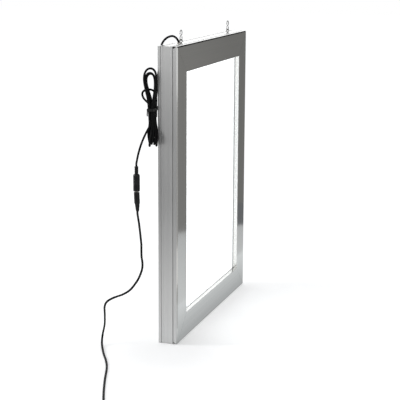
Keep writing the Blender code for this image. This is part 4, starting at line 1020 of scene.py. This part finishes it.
def base_outline():
    """Base: hinge cup, platform, outer wall with its band and groove, key slots and flange."""
    bore = BEAD + GAP
    outer = bore + CUP_WALL
    meets = math.degrees(math.asin((PLATFORM_TOP - HINGE_BACK) / outer))
    band_front = FRONT_EDGE + FRONT_LIP
    flange_front = DEPTH - FLANGE_SKIN
    shut_back, shut_front = SLOT_BACK - SLOT_SHUT, PLATFORM_BACK + SLOT_SHUT
    corners = [
        (0, FRONT_EDGE), (0, band_front), (BAND_STEP, band_front), (BAND_STEP, BAND_BACK),
        (0, BAND_BACK), (0, GROOVE_FRONT), (GROOVE_DEEP, GROOVE_FRONT), (GROOVE_DEEP, GROOVE_BACK),
        (0, GROOVE_BACK), (0, DEPTH - BACK_EDGE), (BACK_EDGE, DEPTH), (FLANGE, DEPTH),
        (FLANGE, flange_front), (WALL, flange_front),
        (WALL, PANEL_REST + SLOT_LIP), (SLOT_TOP, PANEL_REST + SLOT_LIP),
        (SLOT_TOP, PANEL_REST), (WALL, PANEL_REST),
        (WALL, SLOT_BACK + SLOT_LIP), (SLOT_TOP, SLOT_BACK + SLOT_LIP),
        (SLOT_TOP, shut_back), (SLOT_IN, shut_back), (SLOT_IN, SLOT_BACK), (WALL, SLOT_BACK),
        (WALL, PLATFORM_BACK), (SLOT_IN, PLATFORM_BACK), (SLOT_IN, shut_front),
        (SLOT_TOP, shut_front), (SLOT_TOP, PLATFORM_BACK),
        (WEB_AT, PLATFORM_BACK), (WEB_AT, WEB_BACK), (WEB_AT + WEB_WALL, WEB_BACK),
        (WEB_AT + WEB_WALL, PLATFORM_BACK),
        (RAIL_WIDTH, PLATFORM_BACK), (RAIL_WIDTH, PLATFORM_TOP),
    ]
    hinge = (HINGE_IN, HINGE_BACK)
    cup = [arc(hinge, outer, meets, -80, 10), arc(hinge, bore, -80, 90, 14)]
    return softened(np.vstack([corners, *cup]), BASE_ROUNDING)


def drill(obj, holes):
    """Cuts turned holes out of a piece and keeps the result as its mesh."""
    cutters = [new_object("hole", welded_mesh("hole", hole)) for hole in holes]
    for cutter in cutters:
        boolean = obj.modifiers.new("hole", "BOOLEAN")
        boolean.operation = "DIFFERENCE"
        boolean.solver = "EXACT"
        boolean.object = cutter
    graph = bpy.context.evaluated_depsgraph_get()
    solid = obj.data
    obj.data = bpy.data.meshes.new_from_object(obj.evaluated_get(graph))
    obj.modifiers.clear()
    bpy.data.meshes.remove(solid)
    for cutter in cutters:
        bpy.data.objects.remove(cutter, do_unlink=True)
    shade(obj, SHARP_ANGLE, True)


def screw_at(side):
    """Middle of a screw head: on the back flange, a share of the bar's length from its middle."""
    return side_point(side, SCREW_FROM_EDGE, DEPTH, SCREW_FROM_CENTRE_SHARE * SIDES[side][3])


def drilled_at(x, radius):
    """Hole down through the top bar's outer wall."""
    profile = under(0, [(0, -DRILL_ABOVE), (radius + GAP, -DRILL_ABOVE),
                        (radius + GAP, DRILL_BELOW), (0, DRILL_BELOW)])
    return turned(profile, (x, 0, HEIGHT), 32)


def satin_walls(obj, side, material):
    """Gives the faces within two chamfers of the outer wall the satin finish."""
    mesh = obj.data
    mesh.materials.append(material)
    centres = np.empty(len(mesh.polygons) * 3)
    mesh.polygons.foreach_get("center", centres)
    away = centres.reshape(-1, 3) - SIDES[side][0]
    wall = (away @ np.array(SIDES[side][1]) < RAIL_CHAMFER * 2) & (away[:, 1] > RAIL_CHAMFER)
    mesh.polygons.foreach_set("material_index", wall.astype(np.int32))


def build_profiles():
    """Rails and base profiles from their two sections, the base drilled for what goes through."""
    rail, base = rail_outline(), base_outline()
    for side, (*_, way) in SIDES.items():
        front = piece("front_rail_" + side, bar(side, rail, HINGE_BACK - BEAD), BRIGHT[way],
                      "rail_" + side, ("rail_" + side,), weighted=True)
        satin_walls(front, side, SATIN[way])
        profile = piece("base_profile_" + side, bar(side, base), SATIN[way],
                        "light_box", ("base_" + side,))
        holes = [turned(under(0, SCREW_ROOM), screw_at(side), 32, (0, 1, 0))]
        if side == "top":
            holes += [drilled_at(-EYE_AT, EYE_SHANK), drilled_at(EYE_AT, EYE_SHANK),
                      drilled_at(-GLAND_AT, GLAND_BARREL)]
        drill(profile, holes)


def build_screws():
    """Countersunk screw: flat head with a cross recess, as a height over its own disc."""
    r = SCREW_HEAD * np.linspace(0, 1, 14)[:, None]
    t = np.linspace(0, 2 * math.pi, TURNED_SIDES, endpoint=False)[None, :]
    x, z = r * np.cos(t), r * np.sin(t)
    inner = np.minimum(np.abs(x), np.abs(z))
    outer = np.maximum(np.abs(x), np.abs(z))
    recess = smooth_step((RECESS_HALF_WIDE - inner) / RECESS_SIDE)
    recess = recess * smooth_step((RECESS_REACH - outer) / RECESS_END)
    crown = smooth_step((r / SCREW_HEAD - HEAD_FLAT) / (1 - HEAD_FLAT))
    y = -RECESS_DEEP * recess - HEAD_CROWN * crown
    for side in SIDES:
        centre = screw_at(side) - (0, GAP / 3, 0)
        head = surface(np.stack([x, y, z], axis=-1) + centre, ends=False)
        shank = turned(under(0, SCREW_SHANK), centre, axis=(0, 1, 0))
        piece("cross_screw_" + side, joined(head, shank), ZINC, "light_box",
              ("back_screw_" + side,), 50)


def build_eyes():
    """Screw eye: a ring of wire on a stem with a small collar and the thread under it."""
    middle = HEIGHT + GAP + EYE_WIRE + EYE_RING
    t = np.linspace(0, 2 * math.pi, 48, endpoint=False)
    radial = np.column_stack([0 * t, np.cos(t), np.sin(t)])
    h = np.linspace(-THREAD_FROM, -EYE_SHANK_LONG + THREAD_STEP, 90)
    thread = EYE_SHANK - THREAD_DEEP * (1 + np.sin(h * 2 * math.pi / THREAD_STEP)) / 2
    stem = np.vstack([
        [(0, EYE_WIRE + GAP), (EYE_NECK_TOP, EYE_WIRE + GAP), (EYE_NECK, GAP)],
        [(EYE_COLLAR, GAP), (EYE_COLLAR, EYE_OFF_WALL), (EYE_SHANK, EYE_OFF_WALL)],
        np.column_stack([thread, h]),
        [(EYE_TIP, -EYE_SHANK_LONG), (0, -EYE_SHANK_LONG)],
    ])
    for name, x in (("left", -EYE_AT), ("right", EYE_AT)):
        ring = carried((x, 0, middle) + EYE_RING * radial, round_section(EYE_WIRE, 16),
                       (1, 0, 0), radial, True)
        skin = joined(ring, turned(stem, (x, 0, HEIGHT), 28))
        piece("screw_eye_" + name, skin, HOOK_ZINC, "light_box", ("eye_bolt_" + name,), 50)


def build_hooks():
    """S hook: two open loops of wire one above the other, ends rounded off."""
    lower = -EYE_WIRE - HOOK_PLAY - HOOK_WIRE + HOOK_LOOP
    mouth = math.degrees(HOOK_MOUTH)
    low = arc((0, lower), HOOK_LOOP, mouth, -270, 59)
    high = arc((0, lower + 2 * HOOK_LOOP), HOOK_LOOP, -90, 180 + mouth, 59)[1:]
    side, height = np.vstack([low, high]).T
    pivot = HEIGHT + GAP + EYE_WIRE + 2 * EYE_RING
    cos, sin = math.cos(HOOK_TURN), math.sin(HOOK_TURN)
    for name, x in (("left", -EYE_AT), ("right", EYE_AT)):
        path = np.stack([x + side * cos, side * sin, pivot + height], axis=1)
        skin = round_wire(path, HOOK_WIRE, 12, (-sin, cos, 0), round_ends(path, HOOK_WIRE))
        piece("hook_" + name, skin, HOOK_ZINC, "hook_" + name, ("s_hook_" + name,), 60)


def build_gland():
    """Gland: domed head on the top bar and its barrel through the wall, bored for the lead."""
    bore = LEAD + GAP / 2
    profile = softened([
        (bore, GLAND_HIGH), (GLAND_RADIUS - GLAND_HIGH / 2, GLAND_HIGH),
        (GLAND_RADIUS, GLAND_HIGH / 2), (GLAND_RADIUS, 0), (GLAND_BARREL, 0),
        (GLAND_BARREL, -GLAND_BARREL_LONG), (bore, -GLAND_BARREL_LONG),
    ], GLAND_ROUNDING)
    skin = turned(profile, (-GLAND_AT, 0, HEIGHT + GAP), ring=True)
    piece("lead_gland", skin, NICKEL, "light_box", ("cable_gland",), 35)


def ribbed(radii, low, high, ribs):
    """Straight taper whose radius dips between ribs: r = taper - depth ((1 - cos) / 2)^2."""
    (bottom, top), (ribs, depth) = radii, ribs
    h = np.linspace(high, low, ribs * 10 + 1)
    share = (h - low) / (high - low)
    dips = (1 - np.cos(2 * math.pi * ribs * share)) / 2
    return np.column_stack([bottom + (top - bottom) * share - depth * dips ** 2, h])


def build_jack():
    """Jack with its ribbed neck, and the pin with a half ball end in its bore."""
    at = (*JACK, 0)
    neck = ribbed(JACK_NECK, *JACK_NECK_ENDS, JACK_RIBS)
    profile = [under(JACK_SHOULDER, JACK_COLLAR), neck, under(JACK_SHOULDER, JACK_BODY)]
    jack = piece("inline_jack", turned(np.vstack(profile), at), BLACK, "light_box",
                 ("dc_jack",), 35)
    tip = arc((0, PIN_TOP - PIN_LONG + PIN), PIN, 0, -90, 6)
    profile = np.vstack([[(0, PIN_TOP), (PIN, PIN_TOP)], tip])
    pin = piece("contact_pin", turned(profile, at, 24), NICKEL, "light_box",
                ("jack_pin",))
    return jack, pin


def build_plug():
    """Plug and barrel: radius less a share of (1 + cos) / 2 at the grip, and a leaning tail."""
    profile = np.vstack([
        under(PLUG_TOP, PLUG_NOSE),
        under(PLUG_BODY_END, PLUG_HEEL),
        ribbed(PLUG_TAIL, *PLUG_TAIL_ENDS, PLUG_RIBS),
        [(PLUG_HOLE, PLUG_END), (0, PLUG_END)],
    ])
    points, faces = turned(profile, (0, 0, 0), 64)
    height = points[:, 2]
    grip = smooth_step((PLUG_TOP - GRIP_FROM_TOP - height) / GRIP_FADE)
    grip = grip * smooth_step((height - PLUG_BODY_END - GRIP_FROM_END) / GRIP_FADE)
    wave = (1 + np.cos(GRIP_FLATS * np.arctan2(points[:, 1], points[:, 0]))) / 2
    points[:, :2] *= (1 - GRIP_SHARE * grip * wave)[:, None]
    points[:, :2] += sideways(height)
    piece("cord_plug", (points + (*JACK, 0), faces), BLACK, "supply_plug",
          ("dc_plug",), 35)
    low = PLUG_TOP + GAP
    high = low + BARREL_LONG
    profile = [(BARREL_BORE, high), (BARREL, high), (BARREL, low), (BARREL_BORE, low)]
    skin = turned(softened(profile, BARREL_ROUNDING, 3), (*JACK, 0), 40, ring=True)
    piece("plug_sleeve", skin, NICKEL, "supply_plug", ("plug_barrel",), 35)


def band_path(half_x, half_y, radius):
    """Rounded rectangle, one point every few degrees of each corner."""
    corners = [(half_x, half_y), (-half_x, half_y), (-half_x, -half_y), (half_x, -half_y)]
    parts = []
    for quarter, (x, y) in enumerate(corners):
        centre = (x - math.copysign(radius, x), y - math.copysign(radius, y))
        parts.append(arc(centre, radius, 90 * quarter, 90 * quarter + 90, 8))
    return np.vstack(parts)


def strip_section(wide, thick, core):
    """Flat strip with a wire inside: half thickness = thin edge + core exp(-(s / core)^2)."""
    s = np.linspace(-wide / 2, wide / 2, 21)
    half = thick * (1 - (np.abs(s) / (wide / 2)) ** 8) ** 0.5 + core * np.exp(-(s / core) ** 2)
    return np.vstack([np.column_stack([half, s]), np.column_stack([-half, s])[::-1][1:-1]])


def band(path, strip, side, wave=0.0):
    """Strip laid round a closed path, its width along the side, moved that way by the wave."""
    tangent = unit(np.roll(path, -1, axis=0) - np.roll(path, 1, axis=0))
    path = path + np.multiply.outer(wave + np.zeros(len(path)), side)
    return carried(path, strip_section(*strip), np.cross(tangent, side), side, True)


def build_tie():
    """Twist tie: a strip round the hank's waist, its two ends twisted together and hanging."""
    near = float(hank_place(0, len(CROWNS), SIDE)[0])
    far = float(hank_place(0, ENTRY_LAYER, SIDE)[0])
    corner = LEAD + 2 * GAP + TIE_ROOM
    half_y = SIDE + corner + TIE_ROOM_ACROSS
    loop = band_path(abs(near - far) / 2 + corner, half_y, corner)
    loop = loop + ((near + far) / 2, WAIST[1])
    path = np.column_stack([loop, np.full(len(loop), TIE_HEIGHT)])
    gone = np.linspace(0, 2 * math.pi, len(path), endpoint=False)
    skins = [band(path, TIE_STRIP, (0, 0, 1), TIE_WAVE * np.sin(2 * gone + WAVE_FROM))]
    start = (near + TIE_HIGH, WAIST[1] + half_y, TIE_HEIGHT)
    tail = curve_through(TAIL_ROUTE + start, TAIL_SPACING)
    turns = np.linspace(0, TAIL_TURNS, len(tail))
    across, up = rolled(*directions_along(tail, (1, 0, 0)), turns)
    for way in (1, -1):
        end = tail + way * TAIL_APART * across
        skins.append(carried(end, strip_section(*TAIL_STRIP), across, up))
    return piece("twist_tie", joined(*skins), TIE, "light_box", ("hank_tie",), 60)


def build_coil_tie():
    """A like strip round one side of the coil, drawn close over its two layers."""
    half_y = COIL_STEP * COIL_INWARD / 2 + SUPPLY + 2 * GAP
    middle = COIL_OUTER - COIL_STEP * COIL_INWARD / 2
    loop = band_path(half_y, COIL_TIE_HALF_HIGH, COIL_TIE_CORNER)
    height = FLOOR_LIFT + COIL_TIE_LIFT + COIL_TIE_HALF_HIGH
    centre = (COIL_CENTRE[0], COIL_CENTRE[1] + middle, height)
    path = np.column_stack([0 * loop[:, 0], loop]) + centre
    return piece("coil_strip", band(path, COIL_STRIP, (1, 0, 0)), TIE, "light_box",
                 ("coil_tie",), 60)


def build_adapter(at):
    """Tapered boot with slots: r = thin + (thick - thin) share - depth at each slot."""
    h = np.linspace(0, RELIEF_LONG, 91)
    share = h / RELIEF_LONG
    slots = smooth_step((np.cos(2 * math.pi * RELIEF_SLOTS * share) - SLOT_FROM) / SLOT_EDGE)
    slots = slots * (share > RELIEF_ENDS) * (share < 1 - RELIEF_ENDS)
    radius = RELIEF_THIN + (RELIEF_THICK - RELIEF_THIN) * share - SLOT_DEEP * slots
    profile = np.vstack([[(0, 0)], np.column_stack([radius, h]), [(0, RELIEF_LONG)]])
    skin = turned(profile, at - np.array((GAP, 0, 0)), 36, (-1, 0, 0))
    boot = piece("adapter_boot", skin, BLACK, "light_box", ("adapter_relief",))
    nodes = ("adapter_body", "adapter_pin_near", "adapter_pin_far")
    return [boot, *(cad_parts[node] for node in nodes)]


def build_inner_wires():
    """The lead inside the frame and its two thin wires, as smooth tubes in their CAD places."""
    low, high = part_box("lead_junction")
    web = HEIGHT - WEB_AT
    bent = GLAND_TOP - INNER_STRAIGHT
    route = [(0, GLAND_TOP), (0, GLAND_TOP - INNER_STRAIGHT / 2), (GAP, bent),
             (INNER_Y * 0.3, (bent + web) / 2), (INNER_Y * 0.72, web), (INNER_Y, web - LEAD * 3),
             (INNER_Y, high[2] + GAP)]
    path = curve_through([(-GLAND_AT, y, z) for y, z in route], INNER_SPACING)
    piece("inner_cord", round_wire(path, LEAD, 16), PVC, "light_box",
          ("inner_lead",), 60)
    wire_y = high[1] - WIRE - GAP
    board_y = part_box("led_strip_top")[1][1] + GAP
    board_a = WEB_AT + WEB_WALL + GAP + HALF_BOARD
    side_x = high[0] + GAP
    far_x = side_x + WIRE_REACH
    run = board_y - wire_y
    for name, board_z, sign in (("wire_top", HEIGHT - board_a, 1), ("wire_bottom", board_a, -1)):
        begin = (low[2] + high[2]) / 2 + sign * WIRE * 4
        turn_z = board_z - sign * WIRE_TURN
        route = [
            (side_x, wire_y, begin), (side_x + WIRE_REACH / 3, wire_y, begin),
            (far_x - WIRE_REACH / 4, wire_y, begin * 0.85 + turn_z * 0.15),
            (far_x, wire_y, (begin + turn_z) / 2), (far_x, wire_y, turn_z),
            (far_x, wire_y + run * 0.3, board_z + (turn_z - board_z) * 0.25),
            (far_x, board_y - run * 0.2, board_z), (far_x, board_y, board_z),
        ]
        skin = round_wire(curve_through(route, WIRE_SPACING), WIRE, 10)
        piece("inner_" + name, skin, PVC, "light_box", (name,), 60)


build_profiles()
build_screws()
build_eyes()
build_hooks()
build_gland()
jack, jack_pin = build_jack()
build_plug()
twist_tie = build_tie()
coil_strip = build_coil_tie()
adapter_pieces = build_adapter(adapter_at)
build_inner_wires()

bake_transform(supply_cord)

# CAD nodes whose shape is right: beginning of the name, finish, width of the eased edge
KEPT = (
    ("clear_cover", CLEAR, 0),
    ("light_guide", CLEAR, 0),
    ("opal_panel", OPAL, 0),
    ("reflector", FILM, 0),
    ("pressure_foam", FOAM, 0.0008),
    ("back_panel", BOARD, 0),
    ("lead_junction", BLACK, 0.0003),
    ("gland_nut", NICKEL, 0.0002),
    ("adapter_body", SHELL, 0.0016),
    ("adapter_pin", PRONG_FINISH, 0.0002),
    ("corner_key", ZINC, 0.00008),
    ("eye_nut", ZINC, 0.00008),
    ("panel_clip", ZINC, 0.00008),
    ("snap_spring", SPRING, 0.00008),
    ("led_strip", STRIP, 0.00008),
)


def finish_kept_nodes():
    """Gives the nodes that stay their finish, and the small ones an eased edge."""
    for node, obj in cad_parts.items():
        for begins, material, edge in KEPT:
            if not node.startswith(begins):
                continue
            obj.data.materials.clear()
            obj.data.materials.append(material)
            if edge:
                obj.modifiers.new("weld", "WELD").merge_threshold = WELD
                ease = obj.modifiers.new("eased edges", "BEVEL")
                ease.width = edge
                ease.segments = 2
                ease.limit_method = "ANGLE"


finish_kept_nodes()


# Studio: pale floor with painted shade round the left foot, soft lamp behind to the left, and
# glowing sheets that show only in reflections, as painted reflections

FLOOR_REACH = (-9, 9)
FLOOR_LIT, FLOOR_SEEN = (0.78, 0.78, 0.78), (0.95, 0.95, 0.952)
# The floor's glow is lowered near the left foot: painted shade round the foot.
FLOOR_FOOT = (-0.235, -0.01, 0)
FLOOR_NEAR, FLOOR_FAR, FOOT_SHADE_LIFT, LIFT_FAR = 0.02, 0.16, 0.18, 0.335
WORLD_LIGHT, WORLD_STRENGTH = (0.98, 0.99, 1.0), 0.72
WHITE = (1, 1, 1)
LAMP_PLACE, LAMP_TOWARD = (-0.85, 2.35, 0.95), (-0.1, 0, 0.3)
LAMP_SIZE, LAMP_POWER = 0.55, 26
SHEET_START, SHEET_LINE = np.array((0.526, -0.274)), np.array((0.752, 0.659))
SHEET_NEAR, SHEET_MIDDLE, SHEET_FAR = (SHEET_START + SHEET_LINE * v for v in (-0.9, 0.09, 0.42))
SHEET_AHEAD = np.array((-0.002, 0.002))
SHEET_SPLIT = 0.6
SIDE_NEAR, SIDE_FAR = (-0.88, -0.6), (-0.88, 1.6)
FOOT_LINE, FOOT_SIDE = -0.012, -0.30


def bare_tree(data):
    """Node tree of a material or world, emptied."""
    data.use_nodes = True
    data.node_tree.nodes.clear()
    return data.node_tree


def add_output(tree, kind, shine):
    """Output node, with the shine as its surface."""
    feed(tree.nodes.new("ShaderNode" + kind), {"Surface": shine})


def seen_rays(tree):
    """1 where a ray comes from the camera or off or through the object, 0 where it lights it."""
    rays = add(tree, "LightPath", {}).node.outputs
    seen = maths(tree, "MAXIMUM", rays["Is Camera Ray"], rays["Is Glossy Ray"])
    return maths(tree, "MAXIMUM", seen, rays["Is Transmission Ray"])


def graded_emission(name, direction, stops, colour):
    """Glow for the painted reflections, its strength following the place along a direction,
    straight between the stops.
    """
    material = bpy.data.materials.new(name)
    tree = bare_tree(material)
    place = {0: object_place(tree), 1: direction}
    along = add(tree, "VectorMath", place, "Value", operation="DOT_PRODUCT")
    total = None
    for (start, first), (end, second) in zip(stops[:-1], stops[1:]):
        if total is None:
            total = ramp(tree, along, start, end, first, second, "LINEAR")
        else:
            step = ramp(tree, along, start, end, 0, second - first, "LINEAR")
            total = maths(tree, "ADD", total, step)
    shine = add(tree, "Emission", {"Color": colour, "Strength": total})
    add_output(tree, "OutputMaterial", shine)
    return material


def sheet(name, corners, direction, stops, colour=WHITE):
    """A flat glowing sheet seen only by reflections: a painted reflection, which lights nothing
    and casts no shadow.
    """
    mesh = bpy.data.meshes.new(name)
    mesh.from_pydata(corners, [], [(0, 1, 2, 3)])
    mesh.materials.append(graded_emission(name, direction, stops, colour))
    obj = new_object(name, mesh)
    for ray in ("camera", "diffuse", "shadow", "transmission", "volume_scatter"):
        setattr(obj, "visible_" + ray, False)
    obj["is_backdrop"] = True


def standing(start, end, low, high):
    """Corners of an upright sheet over a line on the floor."""
    return [(*start, low), (*end, low), (*end, high), (*start, high)]


def lying(x, y, z):
    """Corners of a level sheet between two sides in x and two in y."""
    return [(x[0], y[0], z), (x[1], y[0], z), (x[1], y[1], z), (x[0], y[1], z)]


def even(strength):
    """Stops of the same strength all over."""
    return [(0, strength), (1, strength)]


def build_floor():
    """Pale floor: seen in its own white, its glow lifted with the distance from the object's left
    foot, so that it is darker round the foot as painted shade.
    """
    mesh = bpy.data.meshes.new("floor")
    mesh.from_pydata(lying(FLOOR_REACH, FLOOR_REACH, 0), [], [(0, 1, 2, 3)])
    floor = new_object("floor", mesh)
    material = bpy.data.materials.new("floor_paper")
    tree = bare_tree(material)
    places = {0: object_place(tree), 1: FLOOR_FOOT}
    away = add(tree, "VectorMath", places, "Value", operation="DISTANCE")
    # Painted shade: less glow near the left foot, more far from it.
    strength = ramp(tree, away, FLOOR_NEAR, FLOOR_FAR, FOOT_SHADE_LIFT, LIFT_FAR)
    lift = add(tree, "Emission", {"Strength": strength})
    plain = add(tree, "BsdfDiffuse", {"Color": FLOOR_LIT})
    pale = add(tree, "BsdfDiffuse", {"Color": FLOOR_SEEN})
    lifted = add(tree, "AddShader", {0: pale, 1: lift})
    paper = add(tree, "MixShader", {0: seen_rays(tree), 1: plain, 2: lifted})
    add_output(tree, "OutputMaterial", paper)
    mesh.materials.append(material)
    floor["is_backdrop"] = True


def build_world():
    """Plain soft light all round, shown as white."""
    world = bpy.data.worlds.new("studio")
    bpy.context.scene.world = world
    tree = bare_tree(world)
    light = add(tree, "Background", {"Color": WORLD_LIGHT, "Strength": WORLD_STRENGTH})
    white = add(tree, "Background", {"Color": WHITE, "Strength": 1})
    both = add(tree, "MixShader", {0: seen_rays(tree), 1: light, 2: white})
    add_output(tree, "OutputWorld", both)


def soft_lamp(name, place, toward, size, power):
    """Square lamp at a place, facing toward another."""
    data = bpy.data.lights.new(name, "AREA")
    data.size = size
    data.energy = power
    back = -unit(np.array(toward) - place)
    right = unit(np.cross((0, 0, 1), back))
    aim(new_object(name, data), right, np.cross(back, right), back, place)


def build_sheets():
    """Painted reflections in the metal, some of them graded darker near the foot as painted shade.
    The sheets' stops are (place along the direction, strength).
    """
    up, right, back = (0, 0, 1), (1, 0, 0), (0, 1, 0)
    along, across = (*SHEET_LINE, 0), (-SHEET_LINE[1], SHEET_LINE[0], 0)
    foot, base = float(SHEET_LINE @ SHEET_START), float(np.dot(across[:2], SHEET_START))
    # Dark glowing sheets seen only in the metal: painted dark reflections of the room beyond the
    # floor.
    sheet("dark_sheet", standing(SHEET_NEAR, SHEET_FAR, 0, SHEET_SPLIT), along,
          [(foot + 0.02, 0.262), (foot + 0.14, 0.212)], (1, 0.995, 0.97))
    sheet("dark_sheet_upper", standing(SHEET_NEAR, SHEET_FAR, SHEET_SPLIT, 2.2), along,
          even(0.05))
    # Painted shade in the reflections: a darker, bluer strip low by the foot.
    sheet("painted_foot_shade_sheet",
          standing(SHEET_MIDDLE + SHEET_AHEAD, SHEET_FAR + SHEET_AHEAD, 0, 0.055),
          along, even(0.185), (0.96, 0.99, 1.04))
    # Painted reflection on the side face: dim low, brighter higher up.
    sheet("side_sheet", standing(SIDE_NEAR, SIDE_FAR, 0, 0.44), up,
          [(0.05, 0.27), (0.10, 0.28), (0.20, 0.35), (0.31, 0.53), (0.42, 0.61)])
    side_x, side_y = (SIDE_NEAR[0], FOOT_SIDE), (SIDE_NEAR[1], SIDE_FAR[1])
    # Painted reflection of the floor left of the frame, dimmer farther from it.
    sheet("side_floor_painted_reflection", lying(side_x, side_y, 0.0006), right,
          [(-0.88, 0.55), (-0.66, 0.72), (-0.45, 0.88), (-0.31, 1.0)])
    # Painted reflection of the floor in front of the frame, graded in strength.
    front = [(*SHEET_NEAR, 0.0007), (*SHEET_FAR, 0.0007)]
    front += [(-FOOT_SIDE, FOOT_LINE, 0.0007), (FOOT_SIDE, FOOT_LINE, 0.0007)]
    sheet("front_floor_painted_reflection", front, across,
          [(base, 0.62), (base + 0.2, 0.70), (base + 0.45, 0.80), (base + 0.6, 0.70)],
          (0.975, 1.0, 1.015))
    # Painted shadow in the reflections: the floor by the foot grows darker toward the frame.
    sheet("painted_foot_shadow_reflection", lying((FOOT_SIDE, 0.60), (-0.090, FOOT_LINE), 0.0009), back,
          [(-0.09, 0.95), (-0.055, 0.76), (FOOT_LINE, 0.50)], (0.965, 1.0, 1.02))
    # Painted reflection of the dimmer floor to the front left.
    sheet("front_left_floor_painted_reflection", lying((-1.4, -0.20), (-3.0, -0.10), 0.0005), back,
          [(-3, 0.45), (-0.1, 0.5)])
    # Dark glowing sheet to the right: a painted dark reflection.
    sheet("dark_sheet_edge", standing((1.55, -1.3), (1.75, -0.10), 0.02, 1.4), up, even(0.05))
    # Bright glowing sheet behind to the right: a painted highlight in the metal.
    sheet("painted_highlight_sheet", standing((2.0, -0.3), (0.4, 2.4), 0.55, 2.2), up, even(1.85))


build_floor()
build_world()
soft_lamp("back_lamp", LAMP_PLACE, LAMP_TOWARD, LAMP_SIZE, LAMP_POWER)
build_sheets()
bpy.context.scene.view_settings.view_transform = "Standard"

boxes = {"cad": CAD_BOX, "visual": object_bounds()}
boxes = {name: [[float(v) for v in corner] for corner in box] for name, box in boxes.items()}
